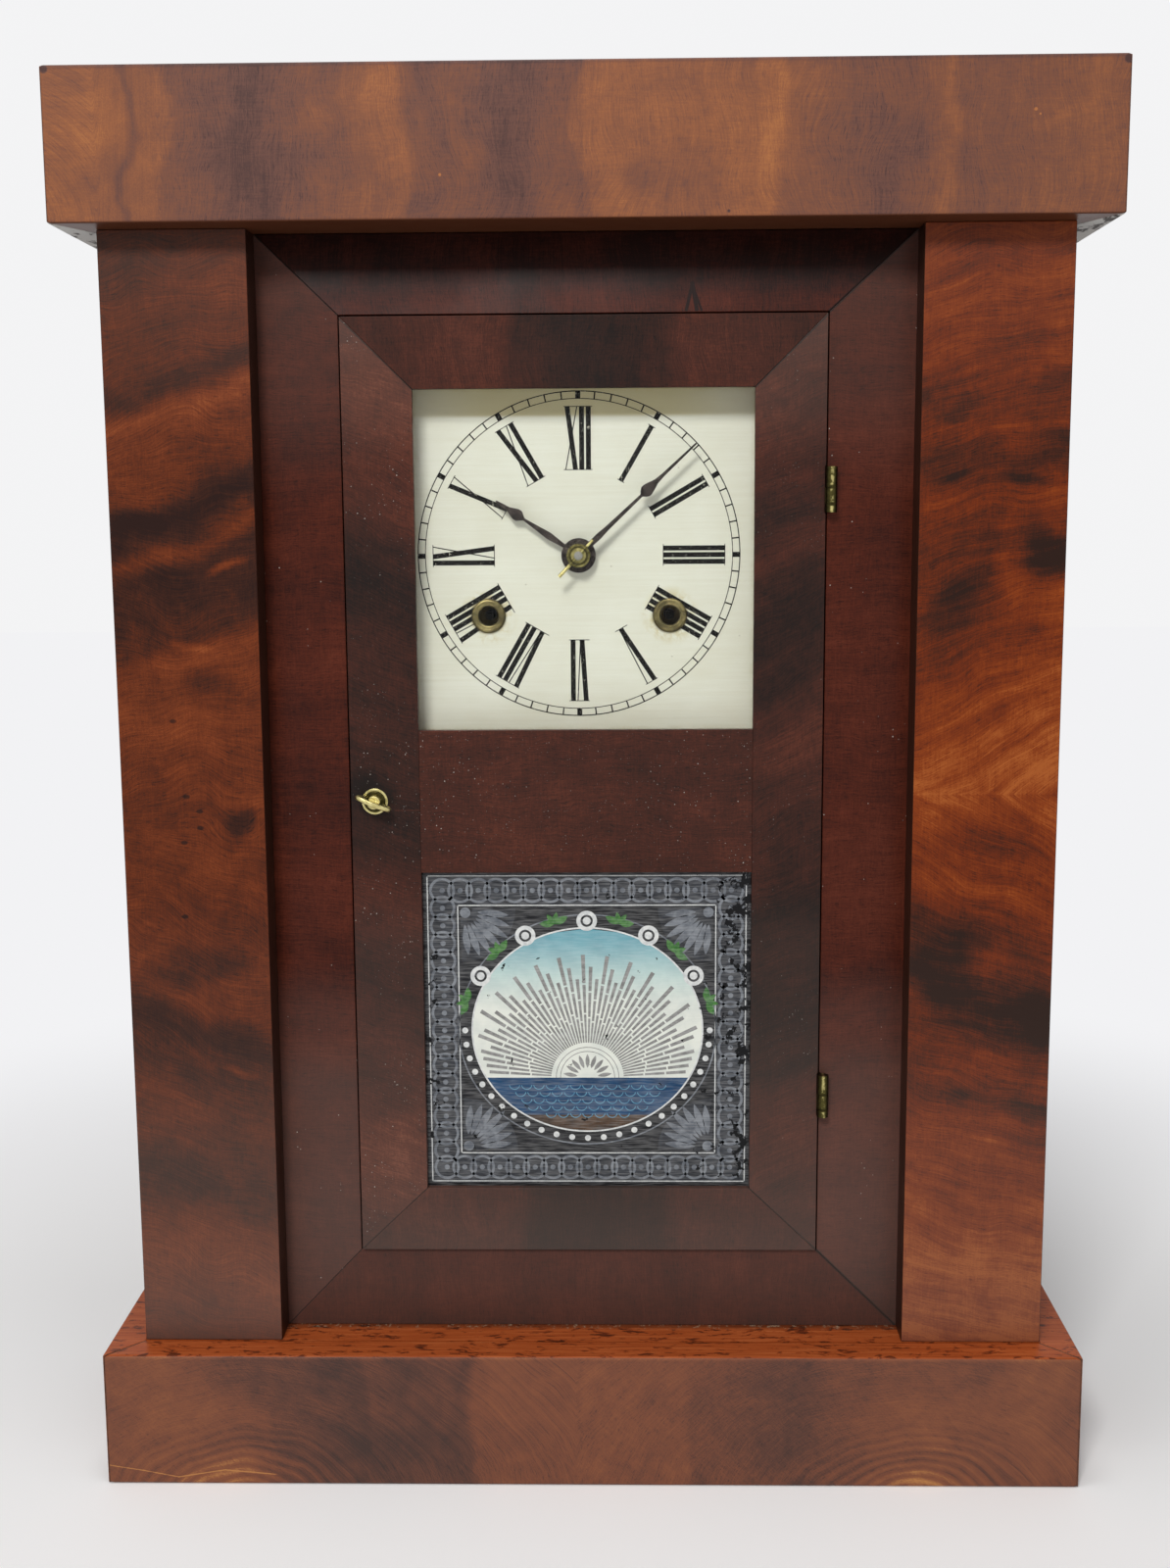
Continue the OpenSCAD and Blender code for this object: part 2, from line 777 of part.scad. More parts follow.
module hinge_case_leaves() {
    color("olive") for (z = hinge_zs) {
        zb = z - hinge_h / 2;
        zt = z + hinge_h / 2;
        z1 = zb + knuckle_split[0] * hinge_h;
        z2 = zb + knuckle_split[1] * hinge_h;
        union() {
            leaf(hole_r, zb, zt, zb, z1);
            leaf(hole_r, zb, zt, z2, zt);
            knuckle(zb, z1);
            knuckle(z2, zt);
        }
        translate([hinge_x, deep(hinge_y), zb]) cylinder(h = hinge_h, r = hinge_pin_r);
    }
}

module hinge_door_leaves() {
    color("olive") for (z = hinge_zs) {
        zb = z - hinge_h / 2;
        zt = z + hinge_h / 2;
        z1 = zb + knuckle_split[0] * hinge_h + shake;
        z2 = zb + knuckle_split[1] * hinge_h - shake;
        union() {
            leaf(hole_r - leaf_gap - leaf_t, zb, zt, z1, z2);
            knuckle(z1, z2);
        }
    }
}

// Pulleys: a yoke under the crown's board, and a grooved wheel on its axle

module pulley_yokes() {
    cheek = pulley_half + 0.5;
    cheek_t = 1.5;
    cheek_hw = 5;
    color("olive") pair() {
        for (y = [cord_y - cheek - cheek_t, cord_y + cheek])
            block(pulley_x - cheek_hw, pulley_x + cheek_hw, y, y + cheek_t,
                pulley_z - cheek_hw, top_z - lid_t);
        bar([pulley_x, pulley_z], axle_r, cord_y - cheek - 1, cord_y + cheek + 1);
    }
}

module pulley(x) {
    rim = pulley_r + pulley_rim;
    translate([x, deep(cord_y), pulley_z]) rotate([90, 0, 0]) rotate_extrude() polygon([
        [axle_r + running_fit, -pulley_half], [rim, -pulley_half], [pulley_r, -cord_d / 2],
        [pulley_r, cord_d / 2], [rim, pulley_half], [axle_r + running_fit, pulley_half]]);
}

module time_pulley() {
    color("peru") pulley(pulley_x);
}

module strike_pulley() {
    color("peru") pulley(-pulley_x);
}

// Cords: wound on the drum, up to the pulley, over it and down to the weight

// Angle at which the straight run touches the drum and the pulley, on its left side
function run_angle(from) =
    let (to = [pulley_x, pulley_z], c = span(from, to))
    heading(from, to) + acos((drum_cord_r - pulley_cord_r) / c);

function cord_points(from) =
    let (a = run_angle(from), rings = 24 * drum_turns,
        p = from + polar(drum_cord_r, a),
        q = [pulley_x, pulley_z] + polar(pulley_cord_r, a))
    concat(
        [for (i = [0:rings - 1])
            let (t = i / 24, c = from + polar(drum_cord_r, a - 360 * t))
            [c[0], deep(cord_y - wind_pitch * (drum_turns - t)), c[1]]],
        [for (t = [0, 0.25, 0.5, 0.75]) let (c = p + t * (q - p)) [c[0], deep(cord_y), c[1]]],
        [for (i = [0:10])
            let (c = [pulley_x, pulley_z] + polar(pulley_cord_r, a * (1 - i / 10)))
            [c[0], deep(cord_y), c[1]]]);

function unit(v) = v / norm(v);
function tangent(pts, i) =
    unit(pts[min(i + 1, len(pts) - 1)] - pts[max(i - 1, 0)]);

module tube(pts, d, sides) {
    n = len(pts);
    verts = [for (i = [0:n - 1])
        let (t = i == n - 1 ? [0, 0, -1] : tangent(pts, i), u = unit(cross(t, [0, 1, 0])),
            v = cross(t, u))
        for (j = [0:sides - 1])
            pts[i] + d / 2 * (cos(360 * j / sides) * u + sin(360 * j / sides) * v)];
    walls = [for (i = [0:n - 2]) for (j = [0:sides - 1])
        let (k = (j + 1) % sides, a = i * sides, b = a + sides)
        for (f = [[a + j, b + k, b + j], [a + j, a + k, b + k]]) f];
    caps = concat(
        [for (j = [1:sides - 2]) [0, j + 1, j]],
        [for (j = [1:sides - 2]) [(n - 1) * sides, (n - 1) * sides + j, (n - 1) * sides + j + 1]]);
    polyhedron(verts, concat(walls, caps));
}

// The left side is routed as the mirror of a right side
time_route = cord_points([dial_x, dial_z] + time_at);
strike_route = cord_points([-dial_x, dial_z] + time_at);
wound = [for (i = [0:24 * drum_turns]) time_route[i]];
turn_gaps = [for (i = [0:len(wound) - 25]) norm(wound[i + 24] - wound[i]) - cord_d];
echo("least gap between the cord's turns", min(turn_gaps));

module cord_runs() {
    color("wheat") {
        tube(time_route, cord_d, 6);
        mirror([1, 0, 0]) tube(strike_route, cord_d, 6);
    }
}

module cord_drop() {
    low = eye_top + cord_lift;
    translate([weight_x, deep(cord_y), low])
        cylinder(h = pulley_z - low, r = cord_d / 2, $fn = 16);
}

module time_cord_drop() {
    color("wheat") cord_drop();
}

module strike_cord_drop() {
    color("wheat") mirror([1, 0, 0]) cord_drop();
}

// An iron weight with a wire eye in its top
module weight() {
    slope = 6;
    stem_r = 1.5;
    translate([weight_x, deep(cord_y), 0]) {
        translate([0, 0, base_h + weight_rest]) rotate_extrude() polygon([
            [0, 0], [weight_r, 0], [weight_r, weight_h - slope], [weight_r - slope, weight_h],
            [0, weight_h]]);
        translate([0, 0, weight_top - lap]) cylinder(h = stem_l + eye_wire, r = stem_r);
        translate([0, 0, eye_top - eye_r]) rotate([90, 0, 0])
            rotate_extrude() translate([eye_r - eye_wire, 0]) circle(eye_wire, $fn = 16);
    }
}

module time_weight() {
    color("dimgray") weight();
}

module strike_weight() {
    color("dimgray") mirror([1, 0, 0]) weight();
}

// Door

// The slab of the door with its closing edge bevelled towards the back
module door_slab() {
    l = door_x - door_w / 2;
    r = door_x + door_w / 2;
    translate([0, 0, door_z]) linear_extrude(door_h) polygon([
        [l, deep(door_y)], [r, deep(door_y)], [r, deep(door_back)],
        [l + door_bevel, deep(door_back)]]);
}

module glass_seats() {
    for (z = [lower_b, upper_b])
        block(open_l - rabbet_w, open_r + rabbet_w, seat_y, door_back + 1,
            z - rabbet_w, z + opening_h + rabbet_w);
}

module door_cuts() {
    glass_seats();
    for (z = hinge_zs) {
        hinge_notch(z);
        block(hole_r - leaf_gap - leaf_t, hole_r, door_y - 1, door_y + leaf_d,
            z - hinge_h / 2, z + hinge_h / 2);
    }
    bar([latch_x, latch_z], spindle_r + running_fit, door_y - 1, door_back + 1);
}

module door_piece(outline) {
    difference() {
        intersection() {
            door_slab();
            slab(0, case_d) polygon(outline);
        }
        door_cuts();
    }
}

module door_stiles() {
    l = door_x - door_w / 2;
    r = door_x + door_w / 2;
    color("darkred") {
        door_piece([[l, door_z], [open_l, lower_b], [open_l, upper_t], [l, door_top]]);
        door_piece([[r, door_z], [open_r, lower_b], [open_r, upper_t], [r, door_top]]);
    }
}

module door_rails() {
    l = door_x - door_w / 2;
    r = door_x + door_w / 2;
    color("firebrick") {
        door_piece([[l, door_z], [r, door_z], [open_r, lower_b], [open_l, lower_b]]);
        door_piece([[open_l, lower_t], [open_r, lower_t], [open_r, upper_b], [open_l, upper_b]]);
        door_piece([[l, door_top], [r, door_top], [open_r, upper_t], [open_l, upper_t]]);
    }
}

module glass_sheet(z) {
    g = rabbet_w - glass_fit;
    block(open_l - g, open_r + g, seat_y, seat_y + glass_t, z - g, z + opening_h + g);
}

module upper_glass() {
    color("lightblue", 0.4) glass_sheet(upper_b);
}

module lower_tablet() {
    color("slategray") glass_sheet(lower_b);
}

// Slips behind each glass, set back a little from the opening's edge
slip_back = 1;
slip_w = rabbet_w - glass_fit - slip_back;
slip_y = seat_y + glass_t;

module slip_stiles() {
    color("tan") for (z = [lower_b, upper_b]) {
        zb = z - slip_back - slip_w;
        for (x = [open_l - slip_back - slip_w, open_r + slip_back])
            block(x, x + slip_w, slip_y, slip_y + slip_t, zb, zb + opening_h + 2 * (slip_back + slip_w));
    }
}

module slip_rails() {
    color("tan") for (z = [lower_b, upper_b])
        for (zb = [z - slip_back - slip_w, z + opening_h + slip_back])
            block(open_l - slip_back, open_r + slip_back, slip_y, slip_y + slip_t, zb, zb + slip_w);
}

module latch_rose() {
    at = [latch_x, latch_z];
    color("gold") difference() {
        union() {
            bar(at, rose_r, door_y - rose_t / 2, door_y);
            bar(at, rose_r - rose_step, door_y - rose_t, door_y - rose_t / 2 + lap);
        }
        bar(at, spindle_r + running_fit, door_y - rose_t - 1, door_y + 1);
    }
}

// The oval turn stands out from a collar on the spindle
module latch_knob() {
    at = [latch_x, latch_z];
    face_y = door_y - rose_t - shake;
    color("gold") {
        bar(at, spindle_r, face_y - 1, frame_back_y + catch_gap + catch_t);
        bar(at, collar_r, face_y - collar_l, face_y);
        translate([latch_x, deep(face_y - turn_out / 2), latch_z]) rotate([0, turn_tilt, 0])
            intersection() {
                turn_arc = (pow(turn_l / 2, 2) + pow(turn_out / 2, 2)) / turn_out;
                lens = turn_arc - turn_out / 2;
                translate([0, lens, 0]) cylinder(h = turn_t, r = turn_arc, center = true);
                translate([0, -lens, 0]) cylinder(h = turn_t, r = turn_arc, center = true);
                cube([turn_l - turn_clip, turn_out + 1, 2 * turn_t], center = true);
            }
    }
}

// A flat finger on the spindle's end that turns behind the frame
module latch_catch() {
    y = frame_back_y + catch_gap;
    color("gold") difference() {
        translate([latch_x, 0, latch_z]) rotate([0, turn_tilt, 0]) slab(y, catch_t) union() {
            circle(catch_w * 0.8);
            translate([-catch_w / 2, 0]) square([catch_w, catch_l - catch_w / 2]);
            translate([0, catch_l - catch_w / 2]) circle(catch_w / 2);
        }
        bar([latch_x, latch_z], spindle_r, y - 1, y + catch_t + 1);
    }
}

// Hands' arbor, motion wheels and hands

module centre_wheel() {
    color("goldenrod") movement() {
        difference() {
            union() {
                arbor([0, 0], arbor_r);
                bar([0, 0], centre_arbor_r, minute_y + hand_t, works_y + 6);
                bar([0, 0], centre_tip_r, tip_y, minute_y + hand_t + 1);
                bar([0, 0], 3, centre_y - 2, centre_y + lap);
            }
            translate([0, deep(pin_y), 0]) rotate([0, taper_pin_tilt, 0])
                cylinder(h = 4 * centre_tip_r, r = taper_pin_r + 0.05, center = true);
        }
        wheel([0, 0], centre_teeth, centre_module, centre_a, centre_y, 3);
        difference() {
            pinion([0, 0], cannon_leaves, motion_module, 0, cannon_y, motion_t);
            bar([0, 0], arbor_r, cannon_y - 1, cannon_y + motion_t + 1);
        }
    }
}

module hour_wheel() {
    color("goldenrod") movement() difference() {
        union() {
            slab(hour_y, motion_t) polygon(wheel_teeth(hour_teeth, hour_module, hour_a));
            bar([0, 0], pipe_r, hour_hand_y, hour_y + lap);
        }
        bar([0, 0], centre_arbor_r + running_fit, hour_hand_y - 1, hour_y + 4);
    }
}

module minute_wheel() {
    color("goldenrod") movement() difference() {
        union() {
            slab_at(motion_at, cannon_y, motion_t)
                polygon(wheel_teeth(motion_teeth, motion_module, motion_a));
            slab_at(motion_at, hour_y, cannon_y - hour_y + lap)
                polygon(pinion_leaves(motion_leaves, hour_module, 0));
        }
        bar(motion_at, arbor_r + running_fit, hour_y - 1, cannon_y + 4);
    }
}

module slab_at(p, y, t) {
    translate([p[0], 0, p[1]]) slab(y, t) children();
}

// Half of a hand's outline, from the boss outwards: [distance, half width]
function mirrored(side) = concat(
    [for (p = side) [p[1], p[0]]],
    [for (i = [len(side) - 1:-1:0]) [-side[i][1], side[i][0]]]);

module minute_hand() {
    l = minute_hand_l;
    color("black") movement() rotate([0, minute_angle, 0]) difference() {
        slab(minute_y, hand_t) union() {
            circle(minute_boss_r);
            polygon(mirrored([[0, 1.1], [0.17 * l, 1.5], [0.24 * l, 1.1], [0.535 * l, 0.7],
                [0.55 * l, 1.9], [0.57 * l, 2.9], [0.59 * l, 2.9], [0.62 * l, 2.2],
                [0.66 * l, 1.2], [0.72 * l, 0.8], [0.99 * l, 0.45], [l, 0.1]]));
        }
        bar([0, 0], centre_tip_r, minute_y - 1, minute_y + hand_t + 1);
    }
}

module hour_hand() {
    l = hour_hand_l;
    color("black") movement() rotate([0, hour_angle, 0]) difference() {
        slab(hour_hand_y, hand_t) union() {
            circle(hour_boss_r);
            polygon(mirrored([[0, 1.0], [0.20 * l, 1.0], [0.36 * l, 1.7], [0.48 * l, 1.2],
                [0.66 * l, 0.6], [0.69 * l, 1.6], [0.72 * l, 2.7], [0.76 * l, 2.7],
                [0.80 * l, 2.0], [0.85 * l, 1.0], [0.90 * l, 0.9], [0.99 * l, 0.4], [l, 0.1]]));
        }
        bar([0, 0], pipe_r, hour_hand_y - 1, hour_hand_y + hand_t + 1);
    }
}

// Brass collet in front of the minute hand, and the taper pin through the arbor
module hand_pin() {
    color("gold") movement() {
        difference() {
            bar([0, 0], collet_r, minute_y - collet_t, minute_y);
            bar([0, 0], centre_tip_r, minute_y - 2, minute_y + 1);
        }
        translate([0, deep(pin_y), 0]) rotate([0, taper_pin_tilt, 0])
            translate([0, 0, -taper_pin_low])
                cylinder(h = taper_pin_l, r1 = taper_pin_r, r2 = taper_pin_r * 2 / 3);
    }
}

// Time train

// Great wheel, loose on its drum's arbor, with the click that holds the drum
module great_wheel(p) {
    great_t = 2;
    rim = 4;
    spoke_w = 4;
    click = saw_r + 0.6;
    click_w = 3;
    click_t = 1.4;
    difference() {
        union() {
            slab_at(p, great_y, great_t) difference() {
                polygon(wheel_teeth(great_teeth, great_module, great_a));
                difference() {
                    circle(great_teeth * great_module / 2 - rim);
                    circle(saw_r + click_w + 2);
                    for (a = [0, 60, 120])
                        rotate(a) square([great_teeth * great_module, spoke_w], center = true);
                }
            }
            slab_at(p, great_y - click_t, click_t + lap) polygon([
                polar(click, 88), polar(click + click_w, 84), polar(click + click_w + 0.5, 118),
                polar(click + 0.8, 118)]);
        }
        bar(p, centre_arbor_r + running_fit, great_y - 2, great_y + great_t + 1);
    }
}

// Drum on the winding arbor, with its ratchet and the square for the key
module drum(p) {
    y0 = cord_y - drum_front;
    y1 = cord_y + drum_rear;
    key_w = 3.4;
    key_l = 10;
    key_y = dial_y + dial_t + 3;
    washer_r = 5;
    bar(p, centre_arbor_r, plates_y - key_l, back_plate_y - shake);
    bar(p, pivot_r, back_plate_y - 1, back_plate_y + plate_t - shake);
    slab_at(p, key_y, key_l) square(key_w, center = true);
    bar(p, drum_r, y0, y1);
    bar(p, drum_r + flange, y0 - flange_t, y0 + lap);
    bar(p, drum_r + flange, y1 - lap, y1 + flange_t);
    slab_at(p, y1, great_y - y1 - 0.4) polygon(saw_teeth(24, saw_r, 1.4, 0));
    bar(p, washer_r, great_y + 2.3, great_y + 4);
}

module time_great_wheel() {
    color("goldenrod") movement() great_wheel(time_at);
}

module time_drum() {
    color("darkkhaki") movement() drum(time_at);
}

module second_wheel() {
    color("goldenrod") movement() {
        arbor(second_at, arbor_r);
        pinion(second_at, great_leaves, great_module, second_leaf_a, great_y - 2, pinion_l);
        wheel(second_at, train_teeth, train_module, 0, fast_y, 3.2);
        wheel(second_at, centre_teeth, centre_module, 0, centre_y, 3.2);
        bar(second_at, hub_r, fast_y, fast_y + hub_l);
        bar(second_at, hub_r, centre_y - hub_l + 1, centre_y);
    }
}

module third_wheel() {
    color("goldenrod") movement() {
        arbor(third_at, arbor_r);
        pinion(third_at, third_leaves, train_module, third_leaf_a, works_y + 2, pinion_l);
        wheel(third_at, train_teeth, train_module, 0, third_y, 2.4);
        bar(third_at, hub_r - 0.4, third_y, third_y + hub_l);
    }
}

module escape_wheel() {
    color("goldenrod") movement() {
        bar(escape_at, 0.8, works_y + shake, back_plate_y - shake);
        bar(escape_at, pivot_r, plates_y + shake, back_plate_y + plate_t - shake);
        pinion(escape_at, escape_leaves, train_module, escape_leaf_a, third_y - 2, pinion_l);
        slab_at(escape_at, escape_y, 1.2)
            wheel_outline(saw_teeth(escape_teeth, escape_r, 1.5, 0), escape_r - 3, 3, pivot_r);
        bar(escape_at, hub_r - 0.8, escape_y, escape_y + hub_l);
    }
}

// Pallets over the escape wheel, and the crutch that drives the pendulum
module verge() {
    crutch_l = 22;
    color("silver") movement() {
        bar(verge_at, arbor_r, crutch_y, back_plate_y - shake);
        bar(verge_at, pivot_r, back_plate_y - 1, back_plate_y + plate_t - shake);
        slab_at(verge_at, escape_y - 0.2, 1.6) difference() {
            polygon(mirrored([[4, 0], [3.4, 2.4], [-1, 6], [-5.6, 10.6], [-8.6, 9.6],
                [-6.2, 7.4], [-3.8, 4.6], [-3, 0]]));
            circle(0.5);
        }
        slab_at(verge_at, crutch_y, 1) union() {
            circle(2.4);
            translate([-0.9, -crutch_l]) square([1.8, crutch_l]);
            translate([-2.6, -crutch_l - 1.5]) square([5.2, 2.5]);
        }
        for (s = [-1, 1])
            translate([verge_at[0] + s * 1.9 - 0.6, deep(crutch_y - 4.2), verge_at[1] - crutch_l - 1])
                cube([1.2, 4.3, 1.5]);
    }
}

// A rod with an eye at its top and a ring that passes round the hands' arbor
module pendulum_rod() {
    ring = 7.5;
    screw_end = 10;
    drop = pendulum_l + bob_r + screw_end;
    low = verge_at[1] - drop;
    color("silver") movement() {
        difference() {
            bar(verge_at, 3, rod_y - 0.8, rod_y + 0.8);
            bar(verge_at, arbor_r + running_fit, rod_y - 2, rod_y + 2);
        }
        translate([0, deep(rod_y), ring]) cylinder(h = verge_at[1] - ring - 2.2, r = rod_r);
        translate([0, deep(rod_y), 0]) rotate([90, 0, 0])
            rotate_extrude() translate([ring, 0]) circle(rod_r, $fn = 24);
        translate([0, deep(rod_y), low]) cylinder(h = -ring - low, r = rod_r);
    }
}

// A lens-shaped bob on a sleeve, with the nut below it
module pendulum_bob() {
    z = verge_at[1] - pendulum_l;
    sleeve = rod_r + running_fit;
    bob_taper = 0.7;
    color("gold") movement() {
        difference() {
            translate([0, deep(rod_y), z]) rotate([90, 0, 0])
                rotate_extrude() polygon(concat([[0, -bob_t / 2]],
                    [for (i = [0:8]) let (t = i / 8) [bob_r * t, -bob_t / 2 * (1 - bob_taper * t * t)]],
                    [for (i = [8:-1:0]) let (t = i / 8) [bob_r * t, bob_t / 2 * (1 - bob_taper * t * t)]]));
            translate([0, deep(rod_y), z - 2 * bob_r]) cylinder(h = 4 * bob_r, r = sleeve);
        }
        translate([0, deep(rod_y), z - bob_r - 3.3]) difference() {
            cylinder(h = 3, r = 3.5);
            translate([0, 0, -1]) cylinder(h = 5, r = sleeve);
        }
    }
}

// Strike train

module strike_great_wheel() {
    color("goldenrod") movement() great_wheel(strike_at);
}

module strike_drum() {
    color("darkkhaki") movement() drum(strike_at);
}

module pin_wheel() {
    color("goldenrod") movement() {
        arbor(pin_at, arbor_r);
        pinion(pin_at, great_leaves, great_module, pin_leaf_a, great_y - 2, pinion_l);
        wheel(pin_at, train_teeth, train_module, 0, fast_y, 3.2, rim = 8);
        bar(pin_at, hub_r, fast_y, fast_y + hub_l);
        for (i = [0:lift_pins - 1])
            bar(pin_at + polar(pin_circle, i * 360 / lift_pins), lift_pin_r, fast_y + 1, fast_y + 5);
    }
}

module fly() {
    vane_l = 18;
    vane_hw = 10.5;
    vane_t = 0.8;
    vane_turn = 35;
    vane_y = works_y + 21;
    pipe = 1.8;
    color("goldenrod") movement() {
        arbor(fly_at, arbor_r);
        pinion(fly_at, third_leaves, train_module, fly_leaf_a, works_y + 2, pinion_l);
        slab_at(fly_at, vane_y, vane_l)
            rotate(vane_turn) square([2 * vane_hw, vane_t], center = true);
        bar(fly_at, pipe, vane_y, vane_y + vane_l);
    }
}

// Count wheel: a toothed wheel with a rim of notches, one after each run of strokes
module count_wheel() {
    disc_r = 22;
    strokes = 78;
    color("goldenrod") movement() {
        arbor(count_at, arbor_r);
        wheel(count_at, count_teeth, great_module, count_a, great_y, 4);
        bar(count_at, 3, great_y - 4, great_y + lap);
        slab_at(count_at, great_y - 5, 1.2) difference() {
            circle(disc_r);
            for (hour = [1:12]) rotate(360 / strokes * hour * (hour + 1) / 2)
                translate([disc_r - 2.5, -0.7]) square([4, 1.4]);
            circle(0.5);
        }
    }
}

// Hammer: an arbor between the plates, a lifting tail, and a long wire with a head
module hammer() {
    gap = 2.5;
    head_l = 15;
    head_x = -gong_r - gong_wire - gap;
    drop = dial_z + hammer_at[1] - gong_z;
    tail_end = pin_at[0] - pin_circle - lift_pin_r - 0.8;
    color("silver") movement() {
        arbor(hammer_at, arbor_r + 0.2);
        translate([hammer_at[0], deep(fast_y + 2), hammer_at[1] - 0.8])
            cube([tail_end - hammer_at[0], 1.2, 1.6]);
        bar(hammer_at, 2, fast_y + 1.5, fast_y + 4);
        bar(hammer_at, 2.4, hammer_y - 1.6, hammer_y + 1.6);
        translate([hammer_at[0], deep(hammer_y), hammer_at[1] - drop])
            cylinder(h = drop, r = 1.1);
        translate([head_x - head_l, deep(hammer_y), hammer_at[1] - drop]) rotate([0, 90, 0])
            cylinder(h = head_l, r = 4.5);
    }
}

base_front();
base_returns();
base_top();
side_boards();
back_board();
crown_front();
crown_returns();
crown_top();
left_pilaster();
right_pilaster();
frame_stiles();
frame_rails();
inner_battens();
dial_plate();
dial_grommets();
front_plate();
back_plate();
plate_pillars();
suspension_cock();
gong();
gong_post();
hinge_case_leaves();
pulley_yokes();
cord_runs();
time_cord_drop();
strike_cord_drop();
door_stiles();
door_rails();
upper_glass();
lower_tablet();
slip_stiles();
slip_rails();
hinge_door_leaves();
latch_rose();
latch_knob();
latch_catch();
centre_wheel();
minute_hand();
hand_pin();
hour_wheel();
hour_hand();
minute_wheel();
time_great_wheel();
time_drum();
second_wheel();
third_wheel();
escape_wheel();
verge();
pendulum_rod();
pendulum_bob();
strike_great_wheel();
strike_drum();
pin_wheel();
fly();
count_wheel();
hammer();
time_weight();
strike_weight();
time_pulley();
strike_pulley();
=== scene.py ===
"""Looks of the empire shelf clock: veneered mahogany, painted dial, aged brass and glass."""

import cmath
import math

import bmesh
import bpy
from mathutils import Matrix, Vector


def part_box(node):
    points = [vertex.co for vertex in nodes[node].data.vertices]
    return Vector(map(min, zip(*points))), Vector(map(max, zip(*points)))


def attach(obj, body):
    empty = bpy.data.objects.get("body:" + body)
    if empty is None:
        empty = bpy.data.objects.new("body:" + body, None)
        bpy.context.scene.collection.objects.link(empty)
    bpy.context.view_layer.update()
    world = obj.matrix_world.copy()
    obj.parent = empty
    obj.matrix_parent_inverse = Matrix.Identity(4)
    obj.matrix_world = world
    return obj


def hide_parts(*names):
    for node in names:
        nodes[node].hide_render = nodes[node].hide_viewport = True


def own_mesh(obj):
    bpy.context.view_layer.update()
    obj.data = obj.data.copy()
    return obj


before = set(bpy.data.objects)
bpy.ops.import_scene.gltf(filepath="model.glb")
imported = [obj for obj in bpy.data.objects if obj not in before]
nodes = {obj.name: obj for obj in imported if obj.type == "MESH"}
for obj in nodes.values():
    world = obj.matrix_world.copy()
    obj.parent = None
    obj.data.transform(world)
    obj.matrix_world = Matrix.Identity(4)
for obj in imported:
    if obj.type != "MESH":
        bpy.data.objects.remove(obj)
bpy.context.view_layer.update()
scene = bpy.context.scene
MM = 0.001

# Main places, in millimetres, read from the frame


def corners(node):
    """Lowest and highest corner of a CAD node, in millimetres."""
    return [[c / MM for c in corner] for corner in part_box(node)]


FRAME_B, FRAME_T = corners("base_front")[1][2], corners("crown_front")[0][2]
DOOR_LOW, DOOR_HIGH = corners("door_stiles")
DIAL_LOW, DIAL_HIGH = corners("dial_plate")
FRONT_Y = corners("left_pilaster")[0][1]
FRAME_X = corners("right_pilaster")[0][0]
DOOR_Y = DOOR_LOW[1]
DIAL_Y = DIAL_LOW[1]
DIAL_X = (DIAL_LOW[0] + DIAL_HIGH[0]) / 2
DIAL_Z = (DIAL_LOW[2] + DIAL_HIGH[2]) / 2
RING_R = 77
WIND_DX, WIND_Z = 43.6, DIAL_Z - 28.8
WIND_HOLES = [(DIAL_X - WIND_DX, WIND_Z), (DIAL_X + WIND_DX, WIND_Z)]
LATCH_AT = (-102, 336)
LATCH_COS, LATCH_SIN = math.cos(math.radians(22)), math.sin(math.radians(22))
TURN_Y = DOOR_Y - 6.8
HINGE_X = 113.9
HINGE_CUTS = (475.3, 483.05, 183.3, 191.05)
HOLE_L, HOLE_R, HOLE_B, HOLE_T = -114.3, 112.3, 109.2, 562.8
OPEN_L, OPEN_R, OPEN_B, OPEN_T = -80.5, 78.5, 142, 529

# Camera, solved on the case's straight edges

IMAGE_W = 1194
FOCAL_PIXELS = 1782
SENSOR_W = 36
CAMERA_AT = (15, FRONT_Y - 814, 466.4)
CAMERA_YAW = -0.0198
CAMERA_PITCH = -0.1473
CAMERA_ROLL = -0.0061


def add_camera():
    lens = bpy.data.cameras.new("camera")
    lens.sensor_fit = "HORIZONTAL"
    lens.sensor_width = SENSOR_W
    lens.lens = SENSOR_W * FOCAL_PIXELS / IMAGE_W
    lens.clip_start = 0.05
    camera = bpy.data.objects.new("camera", lens)
    scene.collection.objects.link(camera)
    turn = Matrix.Rotation(-CAMERA_YAW, 4, "Z") @ Matrix.Rotation(math.pi / 2 + CAMERA_PITCH, 4, "X")
    camera.matrix_world = (Matrix.Translation(Vector(CAMERA_AT) * MM) @ turn
                           @ Matrix.Rotation(CAMERA_ROLL, 4, "Z"))
    scene.camera = camera


# Materials. Colours are written as 0 to 255 in sRGB, and lengths in millimetres.


def linear(colour):
    """The same colour as linear light, with its alpha."""
    return (*[(c / 255 / 12.92) if c < 11 else ((c / 255 + 0.055) / 1.055) ** 2.4 for c in colour], 1)


class Value:
    """The output of a node. Arithmetic on it adds math nodes."""

    def __init__(self, tree, socket):
        self.tree, self.socket = tree, socket

    def __add__(self, other):
        return self.tree.math("ADD", self, other)

    def __sub__(self, other):
        return self.tree.math("SUBTRACT", self, other)

    def __rsub__(self, other):
        return self.tree.math("SUBTRACT", other, self)

    def __mul__(self, other):
        return self.tree.math("MULTIPLY", self, other)

    def __truediv__(self, other):
        return self.tree.math("DIVIDE", self, other)

    def __abs__(self):
        return self.tree.math("ABSOLUTE", self)


def between(a, b, share):
    """a where share is 0, b where it is 1."""
    return a * (1 - share) + b * share


